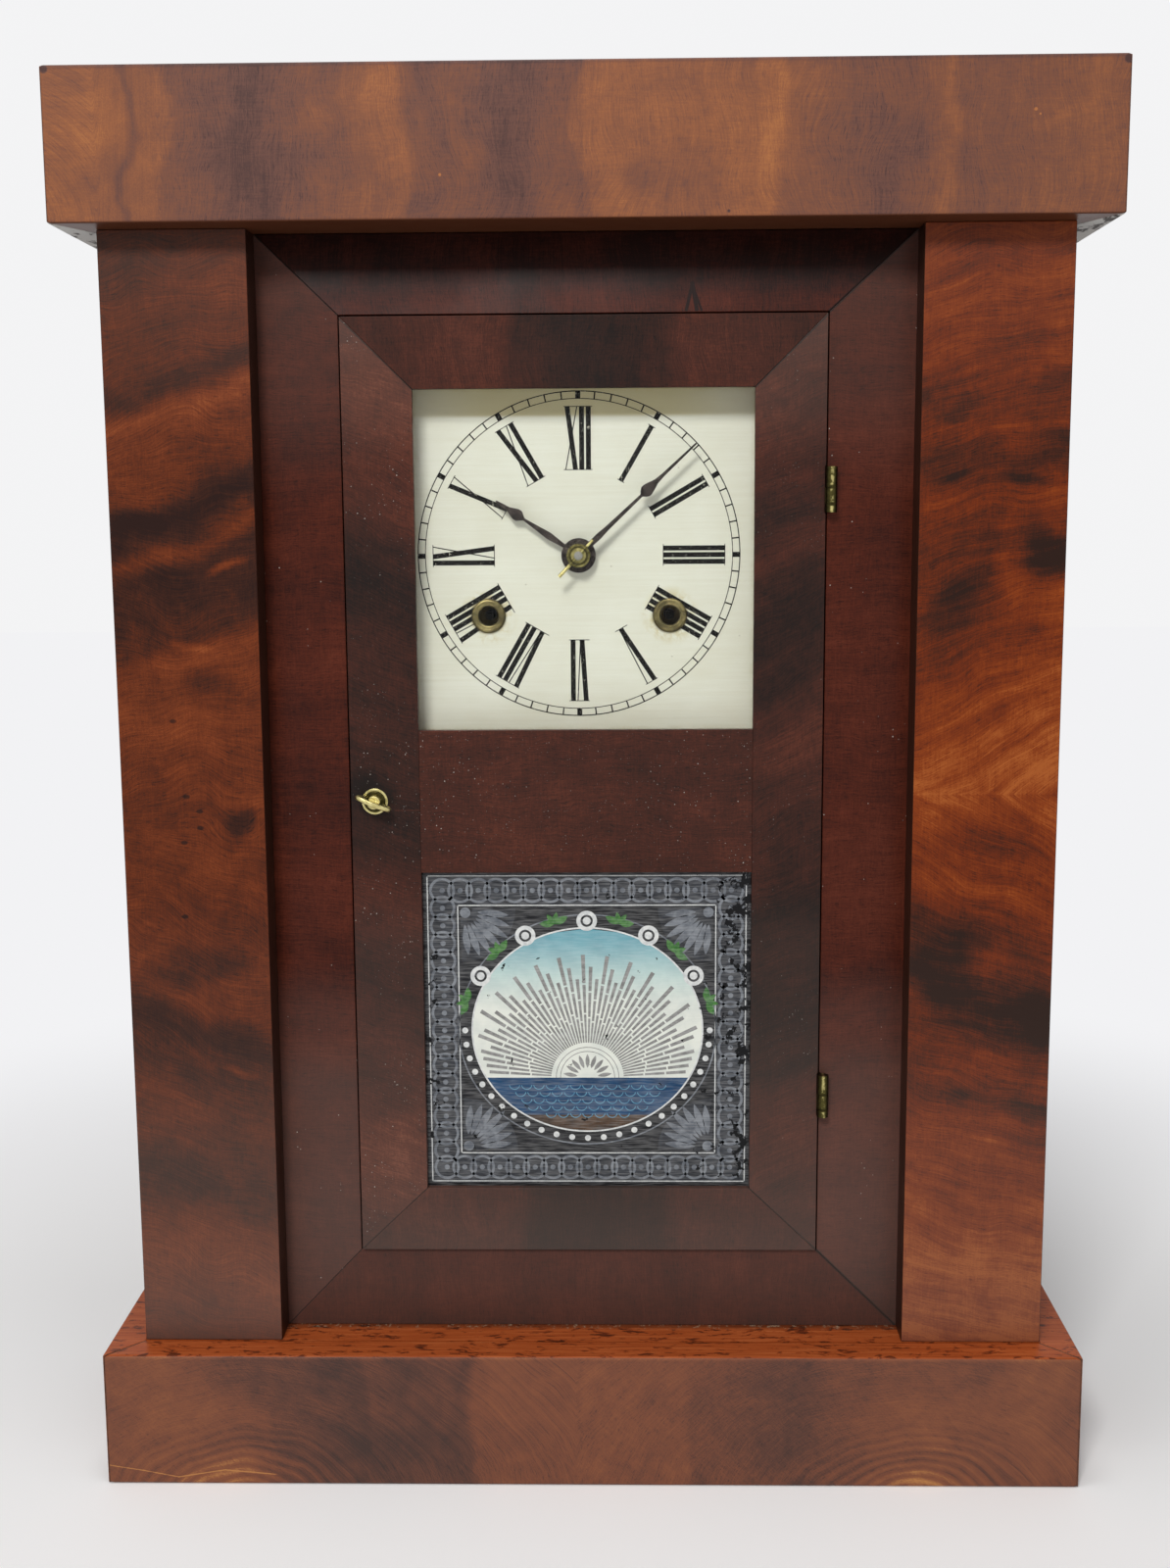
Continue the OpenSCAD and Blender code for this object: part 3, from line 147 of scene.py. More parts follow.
class Tree:
    """A node tree. Its methods add nodes and give their outputs."""

    def __init__(self, tree):
        self.nodes, self.links = tree.nodes, tree.links

    def feed(self, socket, value):
        if isinstance(value, Value):
            self.links.new(value.socket, socket)
        elif hasattr(socket.default_value, "__len__") and len(socket.default_value) == 4:
            socket.default_value = linear(value)
        else:
            socket.default_value = value

    def add(self, kind, inputs=(), **settings):
        node = self.nodes.new("ShaderNode" + kind)
        for name, value in settings.items():
            setattr(node, name, value)
        for name, value in dict(inputs).items():
            self.feed(node.inputs[name], value)
        return node

    def get(self, kind, inputs=(), output=0, **settings):
        return Value(self, self.add(kind, inputs, **settings).outputs[output])

    def math(self, operation, a, b=0.0):
        return self.get("Math", {0: a, 1: b}, operation=operation)

    def most(self, first, *others):
        for other in others:
            first = self.math("MAXIMUM", first, other)
        return first

    def rays(self, *kinds):
        """1 for rays of the named kinds, 0 for others."""
        path = self.add("LightPath").outputs
        return self.most(*(Value(self, path["Is %s Ray" % kind]) for kind in kinds))


class Paint(Tree):
    """A procedural material."""

    def __init__(self, name):
        self.material = bpy.data.materials.new(name)
        self.material.use_nodes = True
        super().__init__(self.material.node_tree)
        self.shader = self.nodes["Principled BSDF"]
        self.place = self.scaled(self.get("TexCoord", output="Object"), (1 / MM,) * 3)
        self.x, self.y, self.z = self.split(self.place)
        self.aside, _, self.up = self.split(self.get("NewGeometry", output="Normal"))

    def vector(self, operation, a, b):
        return self.get("VectorMath", {0: a, 1: b}, operation=operation)

    def scaled(self, vector, ways):
        return self.vector("MULTIPLY", vector, ways)

    def split(self, vector):
        return [Value(self, out) for out in self.add("SeparateXYZ", {"Vector": vector}).outputs]

    def noise(self, vector, scale, detail=3.0, rough=0.55, twist=0.0):
        return self.get("TexNoise", {
            "Vector": vector, "Scale": scale, "Detail": detail, "Roughness": rough, "Distortion": twist})

    def cloud(self, *settings):
        return self.noise(self.place, *settings)

    def drawn(self, vector, ways, detail=3.0, rough=0.55):
        """Noise drawn out by another scale each way."""
        return self.noise(self.scaled(vector, ways), 1.0, detail, rough)

    def warp(self, scale, amount, detail=2.0):
        """The place pushed about by up to half of amount."""
        colour = self.get("TexNoise", {"Vector": self.place, "Scale": scale, "Detail": detail}, 1)
        push = self.scaled(self.vector("SUBTRACT", colour, (0.5, 0.5, 0.5)), (amount,) * 3)
        return self.vector("ADD", self.place, push)

    def bent(self, scale, amount):
        """The front view's x and z, bent gently."""
        u, _, w = self.split(self.warp(scale, amount, 3))
        return u, w

    def streak(self, flow, along, wide, long, seed, detail):
        """Noise about 0, drawn out along the fibres, its grains wide by long."""
        place = self.get("CombineXYZ", {"X": flow, "Y": along, "Z": seed})
        return self.drawn(place, (1 / wide, 1 / long, 1), detail, 0.6) - 0.5

    def cells(self, scale):
        """Distance to the middle of a cell, and the cell's three random numbers."""
        node = self.add("TexVoronoi", {"Vector": self.place, "Scale": scale})
        return Value(self, node.outputs[0]), self.split(Value(self, node.outputs[1]))

    def span(self, value, low, high, to_low=0.0, to_high=1.0):
        """A smooth step from low to high."""
        return self.get("MapRange", {
            "Value": value, "From Min": low, "From Max": high, "To Min": to_low, "To Max": to_high},
            interpolation_type="SMOOTHSTEP")

    def curve(self, value, stops, ease="LINEAR"):
        """A colour ramp through stops, each a position and a linear colour."""
        node = self.add("ValToRGB", {"Fac": value})
        node.color_ramp.interpolation = ease
        points = node.color_ramp.elements
        while len(points) < len(stops):
            points.new(0.5)
        for point, (position, colour) in zip(points, stops):
            point.position, point.color = position, colour
        return Value(self, node.outputs[0])

    def ramp(self, value, *stops):
        """Colours by value. Colours alone are spread evenly from 0 to 1."""
        if len(stops[0]) == 3:
            stops = [(i / (len(stops) - 1), colour) for i, colour in enumerate(stops)]
        return self.curve(value, [(position, linear(colour)) for position, colour in stops])

    def profile(self, value, stops):
        """A smooth curve through given stops: tones in percent by their place in millimetres."""
        low, *_, high = stops
        share = self.get("MapRange", {"Value": value, "From Min": low, "From Max": high})
        return self.curve(share, [((place - low) / (high - low), (tone / 100,) * 3 + (1,))
                                  for place, tone in stops.items()], "EASE")

    def mix(self, factor, a, b, blend="MIX"):
        node = self.add("Mix", {"Factor": factor}, data_type="RGBA", blend_type=blend)
        self.feed(node.inputs["A"], a)
        self.feed(node.inputs["B"], b)
        return Value(self, node.outputs["Result"])

    def length(self, a, b):
        return self.math("SQRT", a * a + b * b)

    def radius(self, at, w=None):
        """Distance from a point of the front view, or with another height in place of z."""
        return self.length(self.x - at[0], (w or self.z) - at[1])

    def blob(self, u, w, at, reach, tilt=0.0, sharp=0.5):
        """1 inside an ellipse of the given reach, falling to 0 at its edge."""
        du, dw = u - at[0], w - at[1]
        c, s = math.cos(math.radians(tilt)), math.sin(math.radians(tilt))
        ahead, off = (du * c + dw * s) / reach[0], (dw * c + du * -s) / reach[1]
        return self.span(self.length(ahead, off), 1.0, sharp)

    def line(self, a, b, wide):
        """1 on the line from a to b in the front view, 0 beyond wide of it."""
        run, rise = b[0] - a[0], b[1] - a[1]
        length = math.hypot(run, rise)
        du, dw = self.x - a[0], self.z - a[1]
        offset = du * (-rise / length) + dw * (run / length)
        ahead = du * (run / length) + dw * (rise / length)
        inside = self.span(ahead, -1, 0) * self.span(ahead, length + 1, length)
        return self.span(abs(offset), wide, wide * 0.3) * inside

    def specks(self, amount):
        """Fine specks of dust in clusters: amount is the share of 1.4 mm cells that may hold one."""
        away, (chance, size, tone) = self.cells(0.7)
        dot = self.span(away - (size * size * 0.17 + 0.07), 0.04, 0.0)
        cluster = self.span(self.cloud(0.07, 3, 0.6), 0.38, 0.66, 0.1, 1.6)
        return dot * self.math("LESS_THAN", chance, cluster * amount) * (tone * 0.6 + 0.35)

    def finish(self, colour, rough, bump=None, metal=0.0, specular=0.5, **others):
        """Feeds the shader's own sockets and gives the material. bump is a height, its strength and
        its depth in metres."""
        values = {"Base Color": colour, "Roughness": rough, "Metallic": metal,
                  "Specular IOR Level": specular}
        if bump:
            values["Normal"] = self.get("Bump", dict(zip(("Height", "Strength", "Distance"), bump)))
        for name, value in {**values, **others}.items():
            self.feed(self.shader.inputs[name], value)
        return self.material

    def mix_in(self, share, other):
        """Mixes another shader into the material's own, and gives the material."""
        both = self.get("MixShader", {0: share, 1: Value(self, self.shader.outputs[0]), 2: other})
        self.feed(self.nodes["Material Output"].inputs["Surface"], both)
        return self.material


# Wood. Tones run from 0, the darkest figure, to 1, the palest.

FRAME_TONES = (30, 14, 11), (56, 24, 17), (79, 34, 22), (98, 46, 31), (118, 64, 46)
DOOR_TONES = (33, 26, 24), (52, 33, 28), (72, 40, 32), (96, 52, 39), (128, 76, 58)
TOP_TONES = (0.0, (40, 22, 16)), (0.4, (112, 50, 24)), (0.7, (156, 74, 34)), (1.0, (188, 108, 62))
SIDE_TONES = (78, 46, 32), (126, 80, 56)
# The first colour is a grey veil of painted reflection, the second that of dust specks.
PAINTED_SHEEN, DUST = (112, 100, 94), (206, 198, 190)


def worn_top(p):
    """Orange shellac on a board's top, worn dark across it and along its edges."""
    wear = p.drawn(p.warp(0.05, 10), (0.09, 0.3, 0.3), 4, 0.65)
    fibre = p.drawn(p.place, (0.03, 1.2, 1.2), 3, 0.6)
    rub = p.drawn(p.warp(0.04, 20, 3), (0.1, 0.6, 0.6), 5, 0.75)
    tone = fibre * 0.8 + p.span(wear, 0.54, 0.64, 0.3, -0.2) + p.span(rub, 0.64, 0.74, 0.0, -0.28)
    return p.ramp(tone, *TOP_TONES)


def veneer(name, tones, draw, gloss, grain, streaks, lines=(), spots=(), dust=None, haze=None,
           under=None, sides=None, top=False):
    """Figured mahogany. draw gives the tone, a distance across the fibres and one along them.
    Lines hold two points, a width and a change of tone, spots a point, a radius and a change.
    haze holds a share and stops by height for a painted sheen, a grey veil standing in for reflected
    light."""
    p = Paint(name)
    tone, flow, along = draw(p)
    smoke = p.noise(p.warp(0.012, 40), 0.03, 4, 0.6) - 0.5
    mottle = p.noise(p.warp(0.05, 14), 0.1, 4, 0.6) - 0.5
    tone += smoke * (0.65 * grain) + mottle * (0.45 * grain)
    for wide, long, seed, share in ((26, 120, 3, 0.7), (10, 90, 7, 0.5), (4, 80, 9, 0.4)):
        tone += p.streak(flow, along, wide, long, seed, 2) * (share * grain * streaks)
    fine = p.streak(flow, along, 0.8, 26, 11, 3)
    pores = p.streak(flow, along, 0.36, 4.5, 23, 1)
    cross = p.streak(along, flow, 0.9, 8, 17, 1)
    grit = p.cloud(1.3, 2, 0.6) - 0.5
    tone += fine * (0.62 * grain) + cross * 0.25 + grit * 0.3 + p.span(pores, 0.08, 0.18) * -0.22
    for a, b, wide, amount in lines:
        tone += p.line(a, b, wide) * amount
    for at, r, amount in spots:
        tone += p.blob(p.x, p.z, at, (r, r)) * amount
    colour = p.ramp(tone, *tones)
    # Painted sheen: a grey veil by height that stands in for the reflection of the pale floor and
    # surroundings.
    if haze:
        share, stops = haze
        colour = p.mix(p.profile(p.z, stops) * share, colour, PAINTED_SHEEN)
    if dust:
        amount, mask = dust
        colour = p.mix(p.specks(amount) * mask(p), colour, DUST)
    if under:
        colour = p.mix(p.span(p.up, -0.4, -0.8), colour, under)
    # Side faces darker: the bare edge's own colour, deepened as painted shade of the reveal.
    if sides:
        colour = p.mix(p.span(abs(p.aside), 0.5, 0.8), colour, sides)
    if top:
        colour = p.mix(p.span(p.up, 0.55, 0.8), colour, worn_top(p))
    rough = p.span(p.cloud(0.02, 3), 0.3, 0.7, gloss - 0.05, gloss + 0.09)
    return p.finish(colour, rough, (pores * -0.6 + fine, 0.3, 0.00012), specular=0.1)


def add_patches(p, tone, u, w, patches):
    """Listed lighter and darker clouds: x, z, reach in x, reach in z, tilt, change of tone."""
    for x, z, rx, rz, tilt, amount in patches:
        tone += p.blob(u, w, (x, z), (rx, rz), tilt, 0.1) * amount
    return tone


def two_sides(p, value, left, right):
    """The left board's profile and the right one's, parted at the middle."""
    return between(p.profile(value, left), p.profile(value, right), p.span(p.x, -5, 5))


def draw_left(p):
    u, w = p.bent(0.013, 34)
    d = w - 328
    tone = p.profile(p.math("SIGN", d) * (abs(d) - (u + 187) * 0.3), {
        -266: 54, -247: 60, -220: 68, -200: 56, -178: 24, -157: 44, -137: 50, -120: 28, -102: 14,
        -80: 56, -46: 54, -20: 60, 20: 56, 60: 62, 76: 60, 88: 22, 122: 18, 131: 50, 138: 16, 150: 12,
        160: 50, 180: 56, 190: 76, 202: 26, 215: 46, 245: 54, 268: 40})
    tone = add_patches(p, tone, u, w, [
        (-204, 471, 26, 11, 6, -0.3), (-164, 474, 22, 12, 10, 0.34), (-166, 450, 15, 3.5, 6, 0.46),
        (-190, 443, 28, 14, 0, -0.12), (-171, 330, 13, 13, 0, -0.5), (-165, 209, 16, 4, -16, 0.3),
        (-184, 411, 20, 4, -4, 0.26), (-176, 394, 22, 9, 0, -0.28), (-190, 370, 26, 12, -6, 0.12),
        (-164, 330, 7, 9, 0, -0.2), (-184, 258, 34, 13, 0, -0.26)])
    for knot in ((-190, 340), (-184, 333), (-184, 325), (-192, 318), (-195, 376), (-193, 282)):
        tone += p.blob(p.x, p.z, knot, (2.08, 1.3)) * -0.4
    below = p.span(p.z, 340, 300, 0.18, -0.3)
    return tone, p.z - (p.x + 187) * below + p.cloud(0.012, 2) * 60, p.x


def draw_right(p):
    u, w = p.bent(0.014, 36)
    d = w - 340
    far = p.span(abs(d), 60, 200, 0.62, 0.1)
    tone = p.profile(p.math("SIGN", d) * (abs(d) - (u - 187) * far), {
        -276: 84, -235: 92, -200: 80, -162: 60, -149: 42, -135: 48, -122: 38, -105: 24, -85: 24,
        -68: 40, -55: 60, -29: 70, 0: 86, 30: 78, 48: 64, 61: 52, 88: 34, 108: 40, 125: 24, 140: 42,
        150: 40, 160: 26, 170: 46, 180: 32, 195: 52, 225: 60, 262: 52})
    tone = add_patches(p, tone, u, w, [
        (212, 452, 18, 24, 20, -0.5), (193, 437, 12, 18, 20, 0.26), (166, 428, 20, 30, -30, -0.26),
        (160, 344, 18, 30, 0, 0.16), (170, 250, 24, 34, 30, -0.26), (217, 234, 15, 22, 0, -0.3),
        (200, 330, 26, 30, 0, -0.12), (186, 376, 34, 8, 24, -0.14), (190, 312, 34, 8, -24, -0.14),
        (196, 254, 14, 16, 0, 0.24), (166, 511, 14, 5, 10, -0.25), (172, 489, 14, 4, 25, -0.28),
        (206, 493, 18, 4, -8, -0.25), (173, 194, 12, 3, 10, -0.2), (208, 189, 14, 3, -10, -0.2)])
    tone += p.span(p.z, 339.8, 340.2, -0.05, 0.04)
    away = abs(p.z - 340)
    rise = p.span(away, 20, 160, 0.5, 0.15)
    return tone, away - (p.x - 150) * rise + p.cloud(0.012, 2) * 40, p.x


def draw_crown(p):
    u, w = p.bent(0.02, 34)
    tone = p.profile(u, {
        -240: 70, -220: 72, -204: 62, -200: 36, -196: 64, -185: 62, -178: 42, -143: 28, -127: 36,
        -113: 50, -90: 58, -79: 72, -74: 44, -67: 34, -58: 46, -50: 38, -40: 32, -10: 48, -1: 46, 0: 60,
        13: 64, 30: 58, 70: 54, 84: 72, 91: 50, 120: 36, 137: 28, 153: 36, 160: 54, 166: 36, 205: 48,
        240: 50})
    tone = add_patches(p, tone, u, w, [
        (-143, 630, 34, 34, 0, -0.1), (-40, 624, 26, 30, 0, -0.1), (138, 620, 40, 30, 0, -0.12),
        (27, 614, 9, 18, -30, -0.16), (-225, 612, 16, 10, 0, -0.08), (210, 640, 34, 6, 30, 0.1),
        (-215, 640, 24, 20, 0, 0.14), (-100, 650, 40, 16, 20, 0.12), (60, 645, 44, 16, -20, 0.12)])
    tone += p.span(p.x, -0.4, 0.4, -0.05, 0.06) + p.span(p.z, 664.5, 666.5, 0, -0.3)
    upright = p.x + p.cloud(0.012, 2) * 50
    return tone, between(p.radius((-262, 596)), upright, p.span(p.x, -216, -186)), p.z


def draw_base(p):
    u, w = p.bent(0.018, 26)
    tone = p.profile(u, {
        -238: 50, -218: 54, -198: 50, -175: 36, -151: 24, -121: 20, -110: 15, -109: 24, -88: 22,
        -61: 22, -55: 44, -38: 50, -8: 52, -6: 46, -4: 50, 22: 50, 47: 48, 53: 34, 72: 40, 92: 27,
        102: 24, 122: 40, 142: 48, 179: 50, 195: 46, 215: 54, 238: 50})
    tone = add_patches(p, tone, u, w, [
        (-176, 2, 36, 17, 4, 0.42), (159, -2, 30, 17, 0, 0.42), (-180, 34, 44, 18, 0, 0.12),
        (160, 34, 38, 20, 0, 0.1), (-110, 20, 46, 20, 0, -0.1), (84, 20, 30, 22, 0, -0.08)])
    tall = p.z * 1.5
    arcs = p.math("MINIMUM", p.radius((-172, -18), tall), p.radius((158, -18), tall))
    grain = arcs + p.cloud(0.02, 2) * 16
    ripple = p.math("SINE", grain * 0.9) * p.span(arcs, 84, 36, 0.0, 0.13)
    return tone + p.span(p.z, 64.4, 66, 0, 0.12) + ripple, grain, p.x + p.z


def draw_frame_stiles(p):
    _, w = p.bent(0.02, 14)
    tone = two_sides(p, w, {
        67: 42, 100: 50, 150: 50, 200: 52, 260: 36, 281: 48, 301: 48, 340: 33, 388: 42, 402: 50,
        421: 44, 440: 34, 460: 40, 500: 46, 540: 42, 601: 42}, {
        67: 36, 120: 56, 150: 60, 190: 52, 218: 52, 245: 38, 284: 54, 318: 56, 350: 38, 381: 50,
        395: 46, 440: 44, 500: 54, 560: 44, 601: 42})
    return tone, w, p.x


def draw_frame_rails(p):
    u, _ = p.bent(0.02, 14)
    tone = p.profile(u, {
        -150: 40, -90: 36, -60: 46, -30: 36, -5: 44, 30: 34, 60: 44, 90: 38, 150: 36})
    # Darker from z 566 up the top rail: painted shadow of the crown.
    return tone + p.span(p.z, 300, 400, 0.1, 0.0) + p.span(p.z, 566, 582, 0.0, -0.3), u, p.z


def draw_door_stiles(p):
    u, w = p.bent(0.02, 18)
    flow = w - abs(u + 1) * 0.4 + 39
    tone = two_sides(p, flow, {
        108: 42, 134: 60, 161: 74, 191: 56, 218: 42, 248: 30, 284: 48, 318: 26, 334: 14, 348: 20,
        374: 36, 414: 30, 428: 18, 441: 10, 454: 22, 474: 52, 491: 56, 514: 70, 564: 60}, {
        108: 36, 134: 44, 160: 52, 190: 46, 207: 20, 240: 12, 284: 16, 300: 30, 340: 42, 360: 54,
        384: 42, 394: 18, 420: 12, 441: 22, 455: 46, 470: 24, 491: 42, 545: 58, 564: 52})
    return add_patches(p, tone, u, w, [(-102, 338, 15, 14, 0, -0.34)]), flow, p.x


def draw_door_rails(p):
    u, w = p.bent(0.02, 18)
    top = p.profile(u, {
        -115: 40, -70: 50, -46: 56, -26: 30, -6: 10, 20: 14, 34: 30, 47: 50, 80: 46, 112: 40})
    low = p.profile(u, {
        -115: 40, -70: 54, -36: 46, -26: 20, 4: 10, 34: 18, 47: 50, 80: 46, 112: 36})
    at_top, at_foot = p.span(p.z, 420, 430), p.span(p.z, 230, 220)
    between_them = 1 - at_top - at_foot
    tone = top * at_top + low * at_foot + between_them * 0.46
    return tone, between(u, w, between_them), between(p.z, p.x, between_them)


def base_top_wood(name):
    """The base's top: shellac, darker and with old glue along the foot of the case."""
    p = Paint(name)
    inner = p.noise(p.warp(0.2, 5), 0.1, 4, 0.7)
    close = p.span(p.y + inner * 5, FRONT_Y + 14, FRONT_Y + 20)
    glue = close * p.span(p.cloud(0.5, 3, 0.7), 0.56, 0.66)
    colour = p.mix(close * 0.6, worn_top(p), (40, 26, 20))
    colour = p.mix(glue * 0.6, colour, (176, 160, 134))
    return p.finish(colour, 0.5, specular=0.1)


FIBRE_WAYS = {"x": (0.015, 0.35, 0.35), "y": (0.35, 0.015, 0.35), "z": (0.35, 0.35, 0.015)}


def plain_wood(name, tones, fibre="z", under=None, top=False):
    """Bare aged softwood, for what the veneer doesn't cover."""
    p = Paint(name)
    rings = p.noise(p.scaled(p.warp(0.02, 12), FIBRE_WAYS[fibre]), 0.6, 4, 0.6)
    tone = rings * 0.8 + p.cloud(0.05, 4) * 0.2
    colour = p.ramp(p.span(tone, 0.3, 0.7), *tones)
    if under:
        stain = p.drawn(p.warp(0.1, 8), (0.16, 0.05, 0.3))
        bare = p.mix(p.span(stain, 0.54, 0.62), under, (70, 62, 58))
        colour = p.mix(p.span(p.up, -0.4, -0.8), colour, bare)
    if top:
        colour = p.mix(p.span(p.up, 0.55, 0.8), colour, worn_top(p))
    return p.finish(colour, 0.7, (rings, 0.3, 0.0003))


# Metal


def aged_brass(name, dark, light, rough=0.36):
    p = Paint(name)
    stain = p.cloud(0.12, 4, 0.6, 0.4)
    grit = p.cloud(1.5, 3, 0.6)
    tone = stain * 0.75 + grit * 0.25
    return p.finish(p.ramp(p.span(tone, 0.36, 0.64), dark, light),
                    p.span(tone, 0.3, 0.7, rough + 0.16, rough), (grit, 0.15, 0.0001), 1.0)


def ringed_brass(name, draw_highlight):
    """Yellow brass, dark in its hollows, with painted highlights where the rim mask is high."""
    p = Paint(name)
    stain = p.cloud(0.6, 4, 0.6)
    colour = p.ramp(draw_highlight(p) * 0.62 + stain * 0.5, (0.1, (30, 26, 16)), (0.45, (84, 78, 42)),
                    (0.8, (196, 184, 122)), (1.0, (226, 216, 160)))
    return p.finish(colour, p.span(stain, 0.3, 0.7, 0.3, 0.42), (stain, 0.2, 0.0001), 1.0)


def hinge_painted_light(p):
    """Painted highlight along the barrels' fronts, with painted shade on their sides and where two
    knuckles meet.
    """
    front = p.span(abs(p.x - HINGE_X), 1.5, 0.2, 0.0, 0.8)
    for z in HINGE_CUTS:
        front = front * p.span(abs(p.z - z), 0.4, 1.2)
    return front * p.span(p.cloud(0.5, 3), 0.4, 0.6, 0.3, 1.0)


# Painted highlights on the rose's outer rim and on its knob.
def rose_highlight(p):
    r = p.radius(LATCH_AT)
    return p.most(p.span(r, 5.0, 5.4), p.span(r, 3.4, 3.0))


# Painted highlights round the oval turn's rim and across its middle.
def turn_rim(p):
    along = (p.x - LATCH_AT[0]) * LATCH_COS + (p.z - LATCH_AT[1]) * -LATCH_SIN
    rim = p.span(p.length(along / 9.2, (p.y - TURN_Y) / 4.6), 0.66, 0.84)
    return p.most(rim, p.span(abs(along), 3.0, 2.4))


# Painted highlights in rings on the collet.
def collet_highlight(p):
    r = p.radius((DIAL_X, DIAL_Z))
    return p.span(r, 4.4, 4.7, 0.0, 0.4) + p.span(r, 3.7, 3.5, 0.0, 0.5) + p.span(r, 5.8, 6.2, 0.0, 0.5)


def turned_wheel(node, arbor_r, steel):
    """A brass wheel with the steel arbor that it is pressed on, told apart by radius."""
    low, high = corners(node)
    p = Paint(node + "_metal")
    r = p.radius(((low[0] + high[0]) / 2, (low[2] + high[2]) / 2))
    turned = p.noise(p.get("CombineXYZ", {"X": r}), 1.6, 2)
    tone = turned * 0.3 + p.cloud(0.1, 3) * 0.7
    worn = p.span(tone, 0.36, 0.64)
    brass = p.ramp(worn, (120, 92, 46), (188, 152, 88))
    rod = p.ramp(worn, [0.56 * c for c in steel], steel)
    core = p.span(r, arbor_r + 0.05, arbor_r - 0.05)
    return p.finish(p.mix(core, brass, rod), p.span(tone, 0.3, 0.7, 0.4, 0.28), (turned, 0.1, 0.0001), 1.0)


def aged_steel(name, dark, light, rough=0.42):
    p = Paint(name)
    stain = p.cloud(0.5, 4, 0.6)
    return p.finish(p.ramp(p.span(stain, 0.35, 0.65), dark, light),
                    p.span(stain, 0.3, 0.7, rough, rough + 0.14), metal=1.0)


def cast_iron(name):
    p = Paint(name)
    rust = p.span(p.cloud(0.06, 4, 0.6), 0.5, 0.72)
    return p.finish(p.mix(rust, (46, 43, 41), (92, 56, 38)), 0.72,
                    (p.cloud(0.9, 4, 0.7), 0.6, 0.0006), 0.4)


# Glass, paint and cord


def clear_glass(name):
    """Old clear glass that lets light through to what is behind it."""
    p = Paint(name)
    p.finish((250, 252, 250), 0.02, (p.cloud(0.02, 2), 0.1, 0.0006), specular=0.12,
             **{"Transmission Weight": 1.0, "IOR": 1.16})
    return p.mix_in(p.rays("Shadow", "Diffuse"), p.get("BsdfTransparent"))


def black_paint(name):
    """Worn black lines of the dial: the cream ground shows through in scratches."""
    p = Paint(name)
    uneven = p.warp(0.4, 1.2)
    wear = p.noise(uneven, 0.9, 4, 0.7)
    streak = p.drawn(uneven, (1.6, 1.0, 0.35), 3, 0.6)
    bare = p.most(p.span(wear, 0.64, 0.70), p.span(streak, 0.66, 0.70))
    return p.finish(p.mix(bare, (13, 12, 10), (190, 188, 172)), 0.5, specular=0.1)


def dial_cream(name):
    """Cream paint with brush marks, yellowed by the holes and edges, and yellow under the door's top rail,
    partly painted shade.
    """
    p = Paint(name)
    brush = p.drawn(p.place, (0.03, 1, 1.1))
    colour = p.ramp(brush * 0.4 + p.cloud(0.03, 4) * 0.6,
                    (0.3, (224, 223, 204)), (0.6, (233, 234, 219)), (0.8, (238, 238, 226)))
    broken = p.span(p.noise(p.warp(0.2, 5), 0.16, 4, 0.7), 0.4, 0.6)
    for hole in WIND_HOLES:
        ring = p.radius(hole)
        colour = p.mix(p.span(ring, 15.5, 8.5) * broken * 0.6, colour, (198, 182, 116))
        colour = p.mix(p.span(ring, 9.2, 8.4) * 0.5, colour, (112, 98, 56))
    away = p.most(abs(p.x - (DIAL_X + 2.6)), abs(p.z - (DIAL_Z - 3)))
    dirt = p.noise(p.warp(0.1, 6), 0.12, 4, 0.7)
    colour = p.mix(p.span(away + dirt * 5, 81, 85.5) * 0.5, colour, (178, 166, 118))
    # A yellow band under the door's top rail: partly real yellowing, partly painted shade of the rail.
    under_frame = DIAL_HIGH[2] - 30.6
    rail_shade_and_yellowing = p.span(p.z, under_frame, under_frame + 2) * p.span(abs(p.x - DIAL_X), 40, 84, 0.7, 0.3)
    colour = p.mix(rail_shade_and_yellowing, colour, (190, 176, 116))
    away, (chance, _, _) = p.cells(0.1)
    speck = p.span(away, 0.05, 0.02) * p.math("LESS_THAN", chance, 0.4)
    colour = p.mix(speck * 0.6, colour, (120, 108, 84))
    return p.finish(colour, 0.42, (brush, 0.12, 0.0002), specular=0.2)


def tablet_paint(name, colour, other, scale=0.12, sky=False):
    """Paint on the back of the glass, mottled, and flaked off to black by the right side."""
    p = Paint(name)
    cloud = p.noise(p.warp(0.1, 6), scale, 4, 0.6)
    tint = p.mix(p.span(cloud, 0.35, 0.65), colour, other)
    if sky:
        deeper = p.ramp(p.span(p.z, 228, 274), (0.0, (255, 255, 252)), (0.45, (214, 236, 238)),
                        (1.0, (118, 182, 204)))
        tint = p.mix(1.0, tint, deeper, "MULTIPLY")
    brush = p.drawn(p.place, (0.12, 1, 1.4), 2)
    tint = p.mix(p.span(brush, 0.3, 0.8, 0, 0.12), tint, (250, 250, 250))
    edge = p.span(p.x, 44, 74, 0, 0.14) + p.span(p.x, -66, -80, 0, 0.06)
    flake = p.noise(p.warp(0.3, 3), 0.14, 4, 0.65)
    tint = p.mix(p.span(flake + edge, 0.68, 0.70), tint, (16, 17, 19))
    return p.finish(tint, 0.09, specular=0.16)


def twisted_cord(name):
    p = Paint(name)
    fuzz = p.drawn(p.place, (2.2, 2.2, 0.9), 4, 0.7)
    colour = p.ramp(p.span(fuzz, 0.3, 0.7), (104, 88, 62), (178, 160, 124))
    return p.finish(colour, 0.9, (fuzz, 0.5, 0.0002))


